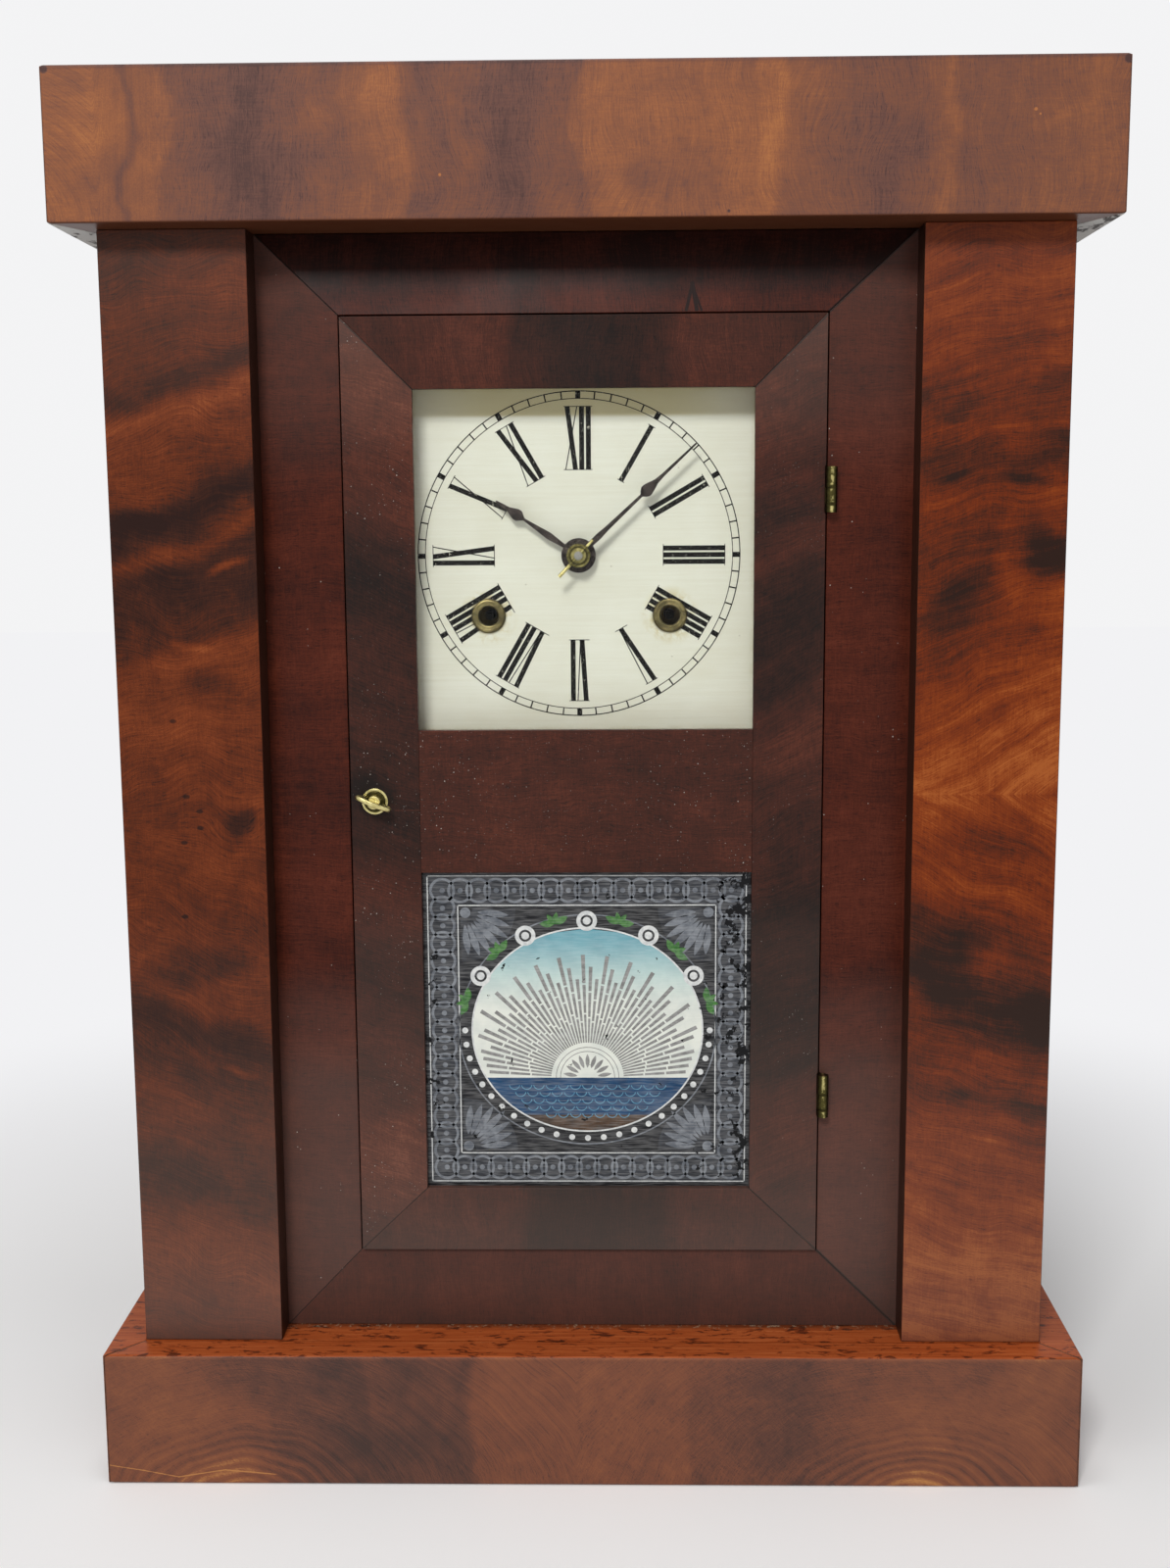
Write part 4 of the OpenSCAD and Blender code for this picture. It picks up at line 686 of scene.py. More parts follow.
def pale_floor(name):
    """A pale floor that takes the shadow near the clock and goes white to the eye further off."""
    p = Paint(name)
    haze = p.cloud(0.004, 3)
    p.finish(p.mix(haze, (248, 248, 249), (251, 251, 252)), 0.8, specular=0.1)
    far = p.span(p.length(p.x, p.y), 320, 900)
    glow = p.get("Emission", {"Color": (242, 242, 244), "Strength": 1.0})
    return p.mix_in(p.rays("Camera", "Glossy", "Transmission") * far, glow)


# Which node wears which material

LOOKS = {}


def dress(material, *names):
    """Keeps a material for the named CAD nodes."""
    LOOKS.update(dict.fromkeys(names, material))
    return material


def dust_on_stiles(p):
    return p.span(p.cloud(0.02, 3), 0.4, 0.6) * p.span(p.x, -70, -90, 0.3, 0.7)


def dust_on_rails(p):
    ends = p.span(abs(p.x + 1), 20, 70, 0.25, 0.7)
    return ends * (p.span(p.z, 420, 400) * p.span(p.z, 200, 240))


def joints(inner, outer, wides):
    """Dark mitre joints from a frame's inner corners to its outer ones, each with its width."""
    ends = [[(x, z) for z in box[2:] for x in box[:2]] for box in (inner, outer)]
    return [(a, b, wide, -0.6) for a, b, wide in zip(*ends, wides)]


FRAME_JOINTS = joints((HOLE_L, HOLE_R, HOLE_T, HOLE_B), (-FRAME_X, FRAME_X, FRAME_T, FRAME_B),
                      (0.44, 0.99, 0.33, 0.99))
DOOR_JOINTS = joints((OPEN_L, OPEN_R, OPEN_T, OPEN_B), (HOLE_L, HOLE_R, DOOR_HIGH[2], DOOR_LOW[2]),
                     (0.385, 0.495, 0.33, 0.44))
FRAME_CHIP = [((46.6, 564), (49.4, 576), 0.96, -0.9), ((49.4, 576), (51.4, 564), 1.2, -0.9),
              ((51.0, 571), (53.4, 564), 0.64, -0.9)]
BASE_SCRATCH = [((-237, 9.7), (-220, 7), 0.4, 0.5), ((-220, 7), (-203, 3.7), 0.4, 0.5),
                ((-203, 3.7), (-180, 7.5), 0.4, 0.5), ((-180, 7.5), (-155, 5.3), 0.4, 0.5)]
CROWN_SPOTS = [((-63, 619), 0.8, 1.0), ((197, 644), 0.9, 1.0), ((199, 642), 0.6, 1.0),
               ((236.5, 664.5), 2.4, -0.7), ((64, 602.5), 0.9, -0.7), ((-236, 665), 2.2, -0.7)]
# Shares of painted sheen by height, in percent: a painted reflection, mostly strongest low down.
CASE_PAINTED_SHEEN = {66: 100, 150: 60, 240: 15, 300: 0, 480: 0, 600: 35}
FRAME_PAINTED_SHEEN = {66: 90, 120: 100, 190: 80, 225: 40, 260: 0, 470: 0, 540: 40, 600: 60}
DOOR_PAINTED_SHEEN = {108: 100, 180: 60, 260: 30, 300: 0, 490: 0, 530: 50, 562: 80}

dress(veneer("veneer_crown", ((78, 56, 53), (102, 70, 62), (121, 78, 60), (143, 90, 61), (168, 108, 66)),
             draw_crown, 0.4, 0.8, 0.4, spots=CROWN_SPOTS, under=(86, 48, 30)), "crown_front")
dress(veneer("veneer_base", ((72, 56, 52), (98, 66, 56), (123, 77, 59), (140, 88, 62), (182, 126, 76)),
             draw_base, 0.4, 0.8, 0.4, BASE_SCRATCH, top=True), "base_front")
dress(veneer("veneer_left", ((40, 22, 18), (62, 32, 22), (92, 42, 22), (118, 56, 28), (150, 80, 42)),
             draw_left, 0.36, 0.9, 0.5, haze=(0.4, CASE_PAINTED_SHEEN), sides=(50, 28, 20)), "left_pilaster")
dress(veneer("veneer_right", ((42, 25, 19), (74, 34, 20), (108, 44, 18), (134, 60, 22), (164, 88, 40)),
             draw_right, 0.36, 0.9, 1.2, haze=(0.3, CASE_PAINTED_SHEEN), sides=(50, 28, 20)), "right_pilaster")
dress(veneer("veneer_frame_v", FRAME_TONES, draw_frame_stiles, 0.36, 0.7, 0.5, FRAME_JOINTS,
             dust=(0.03, lambda p: 0.7), haze=(0.34, FRAME_PAINTED_SHEEN)), "frame_stiles")
dress(veneer("veneer_frame_h", FRAME_TONES, draw_frame_rails, 0.36, 0.7, 0.5, FRAME_JOINTS + FRAME_CHIP,
             haze=(0.28, {66: 100, 180: 20, 260: 0})), "frame_rails")
dress(veneer("veneer_door_v", DOOR_TONES, draw_door_stiles, 0.34, 0.8, 0.5,
             DOOR_JOINTS + [((-92, 331.5), (-73, 331.7), 0.3, 0.35)],
             dust=(0.5, dust_on_stiles), haze=(0.3, DOOR_PAINTED_SHEEN)), "door_stiles")
dress(veneer("veneer_door_h", DOOR_TONES, draw_door_rails, 0.34, 0.7, 0.5, DOOR_JOINTS,
             dust=(0.6, dust_on_rails), haze=(0.3, {108: 100, 150: 60, 200: 0})), "door_rails")
dress(base_top_wood("base_top_wood"), "base_top")
dress(plain_wood("side_wood", SIDE_TONES), "side_boards")
dress(plain_wood("lid_wood", SIDE_TONES, "x"), "crown_top")
dress(plain_wood("base_wood", SIDE_TONES, "y", top=True), "base_returns")
dress(plain_wood("crown_wood", SIDE_TONES, "y", under=(196, 194, 190)), "crown_returns")
dress(plain_wood("back_wood", ((112, 80, 54), (164, 128, 94))), "back_board")
dress(plain_wood("inner_wood", ((120, 88, 56), (182, 146, 104))),
      "inner_battens", "slip_stiles", "slip_rails", "time_pulley", "strike_pulley")
dress(ringed_brass("fitting_brass", hinge_painted_light), "hinge_case_leaves", "hinge_door_leaves")
dress(aged_brass("bronze", (72, 65, 43), (132, 120, 82), 0.4), "dial_grommets")
dress(ringed_brass("latch_rose_brass", rose_highlight), "latch_rose")
dress(ringed_brass("latch_turn_brass", turn_rim), "latch_knob")
dress(ringed_brass("collet_brass", collet_highlight), "hand_pin")
dress(aged_steel("worn_steel", (96, 94, 92), (150, 148, 146)), "gong", "verge", "pendulum_rod", "hammer")
dress(aged_steel("browned_steel", (36, 32, 31), (70, 63, 60), 0.46), "minute_hand", "hour_hand")
dress(cast_iron("cast_iron"), "gong_post", "pulley_yokes", "time_weight", "strike_weight")
dress(clear_glass("old_glass"), "upper_glass")
dress(dial_cream("dial_cream"), "dial_plate")
dress(tablet_paint("tablet_black", (20, 21, 24), (30, 31, 35)), "lower_tablet")
CORD = dress(twisted_cord("twisted_cord"), "cord_runs", "time_cord_drop", "strike_cord_drop")
BRASS = aged_brass("aged_brass", (78, 64, 36), (150, 128, 80))
BLACK = black_paint("worn_black")

# Arbors by radius. A drum's is near black, as painted shade for its end as seen down a winding hole.
for arbor_r, steel, wheels in [
    (0.5, (150, 148, 144), ["hour_wheel"]), (3.4, (150, 148, 144), ["centre_wheel"]),
    (4.2, (9, 9, 8), ["time_drum", "strike_drum"]),
    (2.4, (150, 148, 144), ["second_wheel", "third_wheel", "escape_wheel", "minute_wheel", "pin_wheel",
                            "fly", "count_wheel"]),
]:
    for wheel in wheels:
        dress(turned_wheel(wheel, arbor_r, steel), wheel)


def dress_nodes():
    """Gives every CAD node its material, brass where nothing else is named."""
    for name, node in nodes.items():
        material = LOOKS.get(name, BRASS)
        if not node.material_slots:
            node.data.materials.append(material)
        for slot in node.material_slots:
            slot.material = material


# Pieces

PAINT_THICK = 0.015


def new_piece(name, mesh_maker, material, body, smooth=True):
    """Builds an object in metres from a bmesh drawn in millimetres. Flat figures are drawn as faces
    turned to the front and get the thickness of a coat of paint."""
    shape = bmesh.new()
    mesh_maker(shape)
    if not smooth:
        bmesh.ops.remove_doubles(shape, verts=shape.verts, dist=1e-4)
        raised = bmesh.ops.extrude_face_region(shape, geom=shape.faces[:], use_keep_orig=True)["geom"]
        front = [v for v in raised if isinstance(v, bmesh.types.BMVert)]
        bmesh.ops.translate(shape, vec=(0, -PAINT_THICK, 0), verts=front)
        bmesh.ops.recalc_face_normals(shape, faces=shape.faces)
    bmesh.ops.scale(shape, vec=(MM, MM, MM), verts=shape.verts)
    mesh = bpy.data.meshes.new(name)
    shape.to_mesh(mesh)
    shape.free()
    piece = bpy.data.objects.new(name, mesh)
    scene.collection.objects.link(piece)
    mesh.materials.append(material)
    for face in mesh.polygons:
        face.use_smooth = smooth
    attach(piece, body)
    return piece


def planed(node, name, body, edge):
    """A board with its edges eased, cut from the CAD node's own shape, which it replaces."""
    def make(shape):
        shape.from_mesh(nodes[node].data)
        bmesh.ops.remove_doubles(shape, verts=shape.verts, dist=1e-6)
        bmesh.ops.dissolve_limit(shape, angle_limit=math.radians(1), verts=shape.verts, edges=shape.edges)
        bmesh.ops.scale(shape, vec=(1 / MM,) * 3, verts=shape.verts)
        sharp = [e for e in shape.edges if len(e.link_faces) == 2 and e.calc_face_angle() > 0.5]
        bmesh.ops.bevel(shape, geom=sharp, offset=edge, segments=3, affect="EDGES", profile=0.5)
    piece = new_piece(name, make, LOOKS[node], body)
    piece.modifiers.new("even_shading", "WEIGHTED_NORMAL").keep_sharp = True
    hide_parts(node)


def add_boards():
    for body, slot, boards in [
        ("case", "mahogany", [("crown_front", "crown_board", 1.2), ("base_front", "base_board", 1.6),
                              ("left_pilaster", "left_pilaster_board", 0.7),
                              ("right_pilaster", "right_pilaster_board", 0.7)]),
        ("case", "dark_mahogany", [("frame_stiles", "frame_stile_boards", 0.35),
                                   ("frame_rails", "frame_rail_boards", 0.35)]),
        ("door", "mahogany", [("door_stiles", "door_stile_boards", 0.3),
                              ("door_rails", "door_rail_boards", 0.3)]),
        ("case", "case_wood", [("crown_returns", "crown_side_boards", 0.8),
                               ("base_returns", "base_side_boards", 0.8)]),
        ("door", "brass", [("latch_rose", "latch_plate", 0.3)]),
        ("latch", "brass", [("latch_knob", "latch_turn_piece", 0.25)]),
    ]:
        for node, name, edge in boards:
            planed(node, name, body, edge)


def around(middle, r, angle, y):
    """A point on a circle of the front view, at a depth. The angle is in radians."""
    return Vector((middle[0] + r * math.cos(angle), y, middle[1] + r * math.sin(angle)))


def skin(shape, rings, closed=True):
    """Faces between rings of points, either back to the first ring or with a cap at both ends."""
    for a, b in zip(rings, rings[1:] + rings[:1] if closed else rings[1:]):
        for k in range(len(a)):
            shape.faces.new((a[k - 1], a[k], b[k], b[k - 1]))
    if not closed:
        shape.faces.new(rings[0])
        shape.faces.new(rings[-1])
    bmesh.ops.recalc_face_normals(shape, faces=shape.faces)


def add_dial_rings():
    """The two rings in the winding holes, turned, with a bevel round the hole."""
    low, high = corners("dial_grommets")
    front, back = low[1], high[1]
    outline = [(4.6, back), (4.6, front + 0.75), (5.0, front + 0.3), (5.7, front + 0.12),
               (5.9, front + 0.22), (6.3, front + 0.06), (7.1, front), (7.8, front + 0.12),
               (8.15, front + 0.5), (8.2, DIAL_Y), (5.8, DIAL_Y), (5.8, back)]
    steps = 72

    def make(shape):
        for hole in WIND_HOLES:
            skin(shape, [[shape.verts.new(around(hole, r, 2 * math.pi * i / steps, y)) for r, y in outline]
                         for i in range(steps)])
    piece = new_piece("dial_rings", make, LOOKS["dial_grommets"], "case")
    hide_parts("dial_grommets")


def add_latch_rim():
    """A rounded rim round the oval turn, as cast."""
    long_way, out_way = Vector((LATCH_COS, 0, -LATCH_SIN)), Vector((0, -1, 0))
    up_way = Vector((LATCH_SIN, 0, LATCH_COS))
    centre = Vector((LATCH_AT[0], TURN_Y, LATCH_AT[1]))
    steps, sides = 64, 12

    def make(shape):
        rings = []
        for i in range(steps):
            t = 2 * math.pi * i / steps
            radial = long_way * math.cos(t) + out_way * math.sin(t)
            middle = centre + long_way * (8.1 * math.cos(t)) + out_way * (3.3 * math.sin(t))
            ring = []
            for k in range(sides):
                a = 2 * math.pi * k / sides
                round_rim = math.cos(a) * radial + 1.25 * math.sin(a) * up_way
                ring.append(shape.verts.new(middle + 0.95 * round_rim))
            rings.append(ring)
        skin(shape, rings)
    new_piece("latch_turn_rim", make, LOOKS["latch_knob"], "latch")


# Cords: three strands twisted together, along the routes of the CAD's cords

CORD_D = 2
CORD_Y = FRONT_Y + 75
CORD_PITCH = 2.6
CORD_STEP = 0.9
WRAP_R = 15.3
PULLEY_X = corners("time_cord_drop")[0][0] + CORD_D / 2 - WRAP_R
PULLEY_Z = FRAME_T + 31
DRUM_TURNS = 2
WEIGHT_RISE = 240


def rope(shape, points, lay=9.0, sides=18):
    """A twisted cord along the points, its three strands turning once in each lay."""
    gone, across, rings = 0.0, None, []
    for i, point in enumerate(points):
        ahead = (points[min(i + 1, len(points) - 1)] - points[max(i - 1, 0)]).normalized()
        if across is None:
            across = ahead.orthogonal().normalized()
        else:
            gone += (point - points[i - 1]).length
            across = (across - across.dot(ahead) * ahead).normalized()
        side = ahead.cross(across)
        ring = []
        for j in range(sides):
            a = 2 * math.pi * j / sides
            r = CORD_D / 2 * (0.84 + 0.16 * abs(math.cos(1.5 * (a - 2 * math.pi * gone / lay))))
            ring.append(shape.verts.new(point + r * (math.cos(a) * across + math.sin(a) * side)))
        rings.append(ring)
    skin(shape, rings, False)


def spread(points):
    """The same route with a point at each step."""
    out = [points[0]]
    for a, b in zip(points, points[1:]):
        parts = max(1, round((b - a).length / CORD_STEP))
        out += [a.lerp(b, (i + 1) / parts) for i in range(parts)]
    return out


def cord_route(drum, pulley):
    """The points of one cord: its turns on the drum, its straight run and its bend over the pulley."""
    leave = math.atan2(pulley[1] - drum[1], pulley[0] - drum[0]) + math.pi / 2
    points = []
    for i in range(72 * DRUM_TURNS + 1):
        turns = i / 72
        y = CORD_Y - CORD_PITCH * (DRUM_TURNS - turns)
        points.append(around(drum, WRAP_R, leave - 2 * math.pi * turns, y))
    points += [around(pulley, WRAP_R, leave * (1 - i / 30), CORD_Y) for i in range(31)]
    return spread(points)


def add_cords():
    def make(shape):
        for side in (1, -1):
            route = cord_route((side * DIAL_X + WIND_DX, WIND_Z), (PULLEY_X, PULLEY_Z))
            rope(shape, [Vector((side * point.x, point.y, point.z)) for point in route])
    piece = new_piece("twisted_cords", make, CORD, "case")
    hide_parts("cord_runs")
    for side, name in ((1, "time"), (-1, "strike")):
        x = side * (PULLEY_X + WRAP_R)
        low = corners(name + "_cord_drop")[0][2]
        line = spread([Vector((x, CORD_Y, PULLEY_Z)), Vector((x, CORD_Y, low))])
        drop = new_piece(name + "_hanging_cord", lambda shape: rope(shape, line), CORD, "case")
        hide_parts(name + "_cord_drop")
        length = PULLEY_Z - low
        x * MM
        CORD_Y * MM
        PULLEY_Z * MM
        (length - WEIGHT_RISE) / length
        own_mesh(drop)


# Dial print: rings, minute marks and Roman numerals, as thin plates on the cream paint

PRINT_LIFT = 0.05
NUMERALS = ["XII", "I", "II", "III", "IIII", "V", "VI", "VII", "VIII", "IX", "X", "XI"]
NUMERAL_FOOT, NUMERAL_TOP = 0.525 * RING_R, 0.907 * RING_R
TRACK_R = 0.955 * RING_R
THICK, THIN = 2.35, 0.5
LETTER_WIDTH = {"I": 3.2, "V": 6.0, "X": 6.6}
CLEAR_OF_HOLE = 7.3


def turn(r, degrees):
    """A step of length r, its direction from the right and upwards."""
    return cmath.rect(r, math.radians(degrees))


def flat(shape, middle, points, lift):
    """One flat face turned to the front, lifted off what it lies on. Its points are complex numbers,
    x + z i from the middle."""
    face = shape.faces.new([
        shape.verts.new((middle[0] + c.real, middle[1] - lift, middle[2] + c.imag)) for c in points])
    face.normal_update()
    if face.normal.y > 0:
        face.normal_flip()


def on_dial(across, out, clock_degrees):
    """A point of the dial's print: across and outwards from a numeral's own line."""
    return complex(across, out) * turn(1, -clock_degrees)


def print_plate(shape, points):
    flat(shape, (DIAL_X, DIAL_Y, DIAL_Z), points, PRINT_LIFT)


def stroke(shape, foot, top, width, clock_degrees, low=NUMERAL_FOOT, high=NUMERAL_TOP):
    """A stroke in short lengths, left out where it would lie under a ring or over its hole."""
    parts = 28 if high - low > 1 else 1
    columns = 1 if width < THICK * 1.2 else round(width / 0.8)
    for i in range(parts):
        for j in range(columns):
            corner = []
            for t, v in ((i, j), (i, j + 1), (i + 1, j + 1), (i + 1, j)):
                across = foot + (top - foot) * t / parts + width * (v / columns - 0.5)
                corner.append(on_dial(across, low + (high - low) * t / parts, clock_degrees))
            middle = complex(DIAL_X, DIAL_Z) + sum(corner) / 4
            if min(abs(middle - complex(*hole)) for hole in WIND_HOLES) > CLEAR_OF_HOLE:
                print_plate(shape, corner)


def letter_strokes(letter, left):
    """Strokes of one letter as (foot, top, width), with left its left edge."""
    wide = LETTER_WIDTH[letter]
    if letter == "I":
        return [(left + wide / 2, left + wide / 2, THICK)]
    if letter == "V":
        foot = left + wide * 0.55
        return [(foot, left + THICK / 2 + 0.2, THICK), (foot + 0.7, left + wide - 0.6, THIN)]
    return [(left + wide - THICK / 2 - 0.2, left + THICK / 2 + 0.2, THICK),
            (left + 0.6, left + wide - 0.6, THIN)]


def draw_numerals(shape):
    for hour, text in enumerate(NUMERALS):
        angle = hour * 30
        total = sum(LETTER_WIDTH[c] for c in text)
        left = -total / 2
        for letter in text:
            for foot, top, width in letter_strokes(letter, left):
                stroke(shape, foot, top, width, angle)
            left += LETTER_WIDTH[letter]
        for out in (NUMERAL_FOOT, NUMERAL_TOP):
            stroke(shape, 0, 0, total + 0.6, angle, out - 0.18, out + 0.18)


def draw_track(shape):
    steps = 180
    for r, line in ((RING_R, 0.25), (TRACK_R, 0.19)):
        for i in range(steps):
            a, b = 360 * i / steps, 360 * (i + 1) / steps
            print_plate(shape, [on_dial(0, out, t) for out, t in (
                (r - line, a), (r + line, a), (r + line, b), (r - line, b))])
    for minute in range(60):
        half = 1.2 if minute % 5 == 0 else 0.33
        print_plate(shape, [on_dial(side, out, minute * 6) for side, out in (
            (-half, TRACK_R), (half, TRACK_R), (half, RING_R), (-half, RING_R))])


def add_dial_print():
    new_piece("dial_numerals", draw_numerals, BLACK, "case", False)
    new_piece("dial_track", draw_track, BLACK, "case", False)


# The lower tablet: a geometric design of rings, beads and rays, in flat layers on the glass

TABLET_AT = ((OPEN_L + OPEN_R) / 2, corners("lower_tablet")[0][1], (OPEN_B + 301) / 2)
OVAL_X, OVAL_Z = 56, 51
HORIZON, SEA_FOOT = -24, -43
SUN = HORIZON * 1j
BEAD_STEP = 7.5
CORNERS = [complex(x, z) for x in (-1, 1) for z in (-1, 1)]


def coat(shape, points, lift):
    flat(shape, TABLET_AT, points, lift)


def on_oval(grow, degrees):
    """A point of the oval, or of one larger by grow."""
    side = turn(1, degrees)
    return complex((OVAL_X + grow) * side.real, (OVAL_Z + grow) * side.imag)


def ring(shape, at, inner, outer, lift, start=0, end=360, steps=36):
    """A flat ring or arc about a point."""
    rays = [turn(1, start + (end - start) * i / steps) for i in range(steps + 1)]
    for a, b in zip(rays, rays[1:]):
        coat(shape, [at + inner * a, at + outer * a, at + outer * b, at + inner * b], lift)


def disc(shape, at, r, lift, steps=32):
    coat(shape, [at + turn(r, 360 * i / steps) for i in range(steps)], lift)


def leaf(shape, at, angle, length, width, lift, blunt=0.8):
    """A pointed leaf from a point outwards."""
    left = [complex(i / 12 * length, width / 2 * math.sin(math.pi * i / 12) ** blunt) for i in range(13)]
    outline = left + [c.conjugate() for c in left[-2:0:-1]]
    coat(shape, [at + c * turn(1, angle) for c in outline], lift)


def oval_half(z, shrink=0.0):
    """Half the oval's width at a height."""
    rise = z / (OVAL_Z - shrink)
    return (OVAL_X - shrink) * math.sqrt(max(0.0, 1 - rise * rise))


def oval_band(shape, low, high, parts=24):
    """The part of the oval between two heights."""
    for i in range(parts):
        a, b = low + (high - low) * i / parts, low + (high - low) * (i + 1) / parts
        wa, wb = oval_half(a), oval_half(b)
        if max(wa, wb) > 0.2:
            corner = [complex(-wa, a), complex(wa, a), complex(wb, b), complex(-wb, b)]
            coat(shape, [c for n, c in enumerate(corner) if abs(c.real) > 0.01 or n in (0, 2)], 0.06)


def oval_outline(shape, grow, wide, lift):
    for i in range(96):
        a, b = 360 * i / 96, 360 * (i + 1) / 96
        coat(shape, [on_oval(g, t) for g, t in (
            (grow, a), (grow + wide, a), (grow + wide, b), (grow, b))], lift)


def draw_bands(shape):
    """A darker band under the rings, and a shade behind each corner's fan."""
    for x0, x1, z0, z1 in ((-78, 78, -78, -62), (-78, 78, 62, 78), (-78, -62, -62, 62), (62, 78, -62, 62)):
        coat(shape, [complex(x, z) for x, z in ((x0, z0), (x1, z0), (x1, z1), (x0, z1))], 0.02)
    for corner in CORNERS:
        middle = math.degrees(cmath.phase(-corner))
        ring(shape, corner * 61.5, 6, 27, 0.02, middle - 44, middle + 44, 16)


def draw_rings(shape):
    """Interlaced rings all round, and a fan of leaves in each corner."""
    for i in range(17):
        place = -70 + 140 * i / 16
        middles = [complex(place, -70), complex(place, 70)]
        if 0 < i < 16:
            middles += [complex(-70, place), complex(70, place)]
        for at in middles:
            ring(shape, at, 5.0, 6.3, 0.04, steps=28)
            disc(shape, at, 1.3, 0.04, 16)
    for corner in CORNERS:
        for k in range(-3, 4):
            angle = math.degrees(cmath.phase(-corner)) + k * 13
            leaf(shape, corner * 60 + turn(7, angle), angle, 20 - abs(k) * 1.6, 3.6, 0.05)
        disc(shape, corner * 59, 2.6, 0.05, 20)
    oval_outline(shape, 6.6, 0.7, 0.05)


def draw_beads(shape):
    """Beads round the oval, large ones above and small ones below, and two square lines."""
    oval_outline(shape, 0.0, 0.8, 0.10)
    for k in range(48):
        at = on_oval(3.9, k * BEAD_STEP)
        if k % 4 == 0 and 0 < k < 24:
            ring(shape, at, 3.0, 5.0, 0.12)
            disc(shape, at, 1.9, 0.12)
        elif k >= 24 or k == 0:
            disc(shape, at, 1.5, 0.10, 18)
    for edge in (77.2, 62.6):
        inner, outer = edge - 0.25, edge + 0.25
        for quarter in (1, 1j, -1, -1j):
            coat(shape, [quarter * complex(x, z) for x, z in (
                (-outer, -outer), (outer, -outer), (outer, -inner), (-outer, -inner))], 0.05)


def draw_leaves(shape):
    """Pairs of lozenge leaves between the large beads."""
    for k in range(2, 24, 4):
        angle = k * BEAD_STEP
        at = on_oval(4.2, angle)
        for way, lift in ((-1, 0.11), (1, 0.13)):
            leaf(shape, at, angle + way * 74, 7.5, 3.4, lift, 1.0)
            leaf(shape, at, angle + way * 24, 6, 2.6, lift + 0.04, 1.0)


def draw_rays(shape):
    """Thin rays from the horizon, in groups of three, and two rings about their middle."""
    for k in range(48):
        ray = turn(1, 3.5 + k * 3.68)
        low, high = 0.0, 90.0
        for _ in range(24):
            mid = (low + high) / 2
            tip = SUN + mid * ray
            inside = abs(tip.real) < oval_half(tip.imag, 2.5) and tip.imag < OVAL_Z - 2.5
            low, high = (mid, high) if inside else (low, mid)
        part = (min(low, (62, 50, 56)[k % 3]) - 17) / 3
        for i in range(3):
            a, b = 17 + i * part + 0.8, 17 + (i + 1) * part
            wa, wb = 0.014 * a + 0.13, 0.014 * b + 0.13
            coat(shape, [SUN + ray * complex(r, v) for r, v in (
                (a, -wa), (b, -wb), (b, wb), (a, wa))], 0.08)
    for r in (13.5, 15.6):
        ring(shape, SUN, r - 0.35, r, 0.08, 0, 180)
    for angle in range(10, 171, 20):
        leaf(shape, SUN + turn(5, angle), angle, 7, 2.0, 0.08)


def draw_scales(shape):
    """Rows of small arcs on the blue."""
    for row in range(5):
        z = HORIZON - 3.4 - row * 3.6
        for k in range(-10, 11):
            x = k * 6.0 + row % 2 * 3.0
            if abs(x) + 3.0 < oval_half(z - 2.5, 1.0):
                ring(shape, complex(x, z), 2.35, 2.8, 0.08, 190, 350, 12)


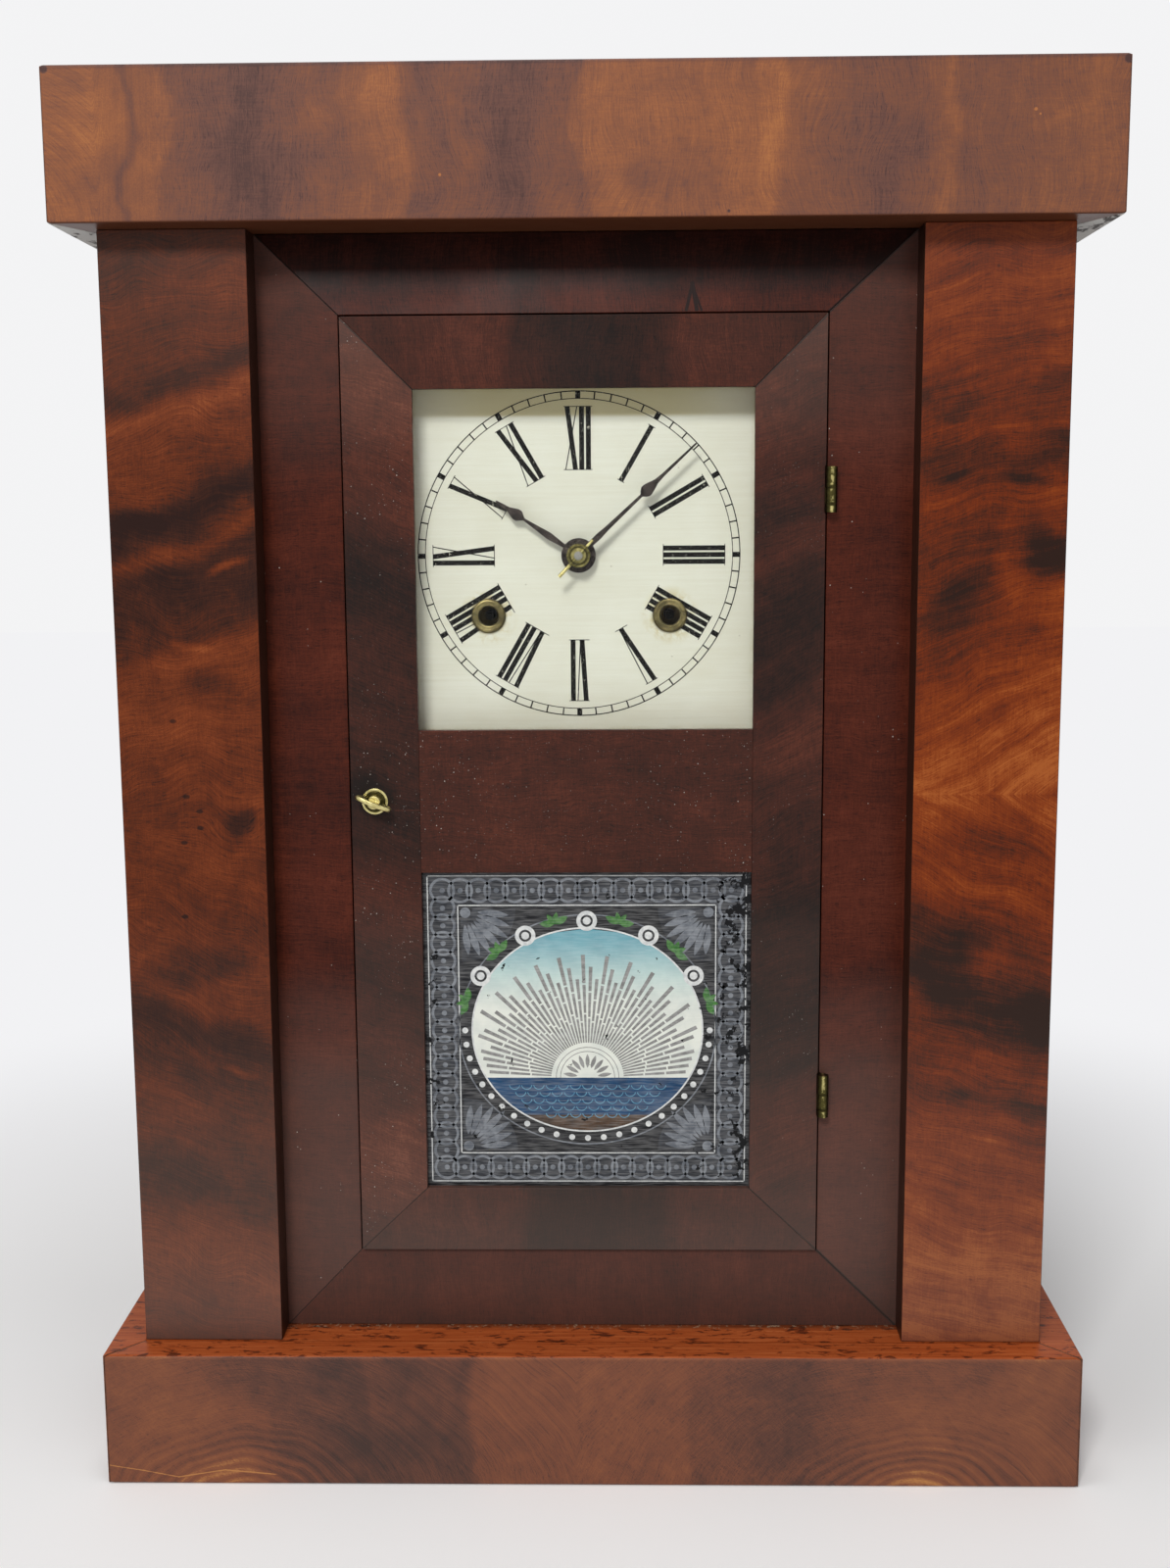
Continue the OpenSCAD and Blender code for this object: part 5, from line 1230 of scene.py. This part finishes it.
def add_tablet():
    for name, draw, *paint in [
        ("tablet_bands", draw_bands, "tablet_dim", (38, 40, 45), (56, 59, 65)),
        ("tablet_rings", draw_rings, "tablet_grey", (88, 93, 101), (122, 127, 134), 0.2),
        ("tablet_beads", draw_beads, "tablet_white", (222, 224, 222), (196, 199, 200), 0.4),
        ("tablet_leaves", draw_leaves, "tablet_green", (44, 98, 40), (74, 128, 58), 0.4),
        ("tablet_ground", lambda shape: oval_band(shape, HORIZON, OVAL_Z, 40), "tablet_sky",
         (228, 231, 224), (214, 219, 214), 0.08, True),
        ("tablet_rays", draw_rays, "tablet_hatch", (122, 122, 120), (150, 150, 148), 0.3),
        ("tablet_low_band", lambda shape: oval_band(shape, SEA_FOOT, HORIZON), "tablet_blue",
         (34, 74, 112), (24, 58, 92), 0.08),
        ("tablet_scales", draw_scales, "tablet_pale", (92, 146, 172), (70, 122, 154), 0.3),
        ("tablet_foot", lambda shape: oval_band(shape, -OVAL_Z, SEA_FOOT, 12), "tablet_brown",
         (86, 64, 46), (60, 46, 36), 0.2),
    ]:
        new_piece(name, draw, tablet_paint(*paint), "door", False)


# Surroundings

CENTRE = (0, -0.04, 0.36)


def add_floor():
    bpy.ops.mesh.primitive_plane_add(size=14, location=(0, 0, 0))
    floor = bpy.context.object
    floor.name = "floor"
    floor.data.materials.append(pale_floor("pale_floor"))


def add_lamp(name, azimuth, elevation, distance, size, watts, colour):
    """A square lamp turned to the clock: azimuth 0 is in front, positive is to the right."""
    light = bpy.data.lights.new(name, "AREA")
    light.shape = "RECTANGLE"
    light.size, light.size_y = size
    light.energy, light.color = watts, colour
    lamp = bpy.data.objects.new(name, light)
    scene.collection.objects.link(lamp)
    a, e = math.radians(azimuth), math.radians(elevation)
    at = Vector((distance * math.sin(a) * math.cos(e), -distance * math.cos(a) * math.cos(e),
                 CENTRE[2] + distance * math.sin(e)))
    lamp.location = at
    lamp.rotation_euler = (Vector(CENTRE) - at).to_track_quat("-Z", "Y").to_euler()


def add_light():
    """A white surround that looks brighter than it lights, and two lamps."""
    scene.world = bpy.data.worlds.new("studio")
    scene.world.use_nodes = True
    tree = Tree(scene.world.node_tree)
    seen = tree.rays("Camera", "Glossy", "Transmission")
    background = tree.nodes["Background"]
    background.inputs["Color"].default_value = (1, 1, 1.01, 1)
    strength = tree.get("MapRange", {"Value": seen, "To Min": 0.3, "To Max": 0.9})
    tree.feed(background.inputs["Strength"], strength)
    add_lamp("ceiling", -20, 80, 2.0, (0.9, 0.6), 13, (1, 0.995, 0.985))
    add_lamp("main", -12, 37, 2.2, (0.5, 0.42), 27, (1, 0.985, 0.96))


scene.view_settings.view_transform = "Standard"
add_camera()
add_cords()
add_floor()
add_light()
dress_nodes()
add_boards()
add_latch_rim()
add_dial_rings()
add_dial_print()
add_tablet()

bpy.context.view_layer.update()
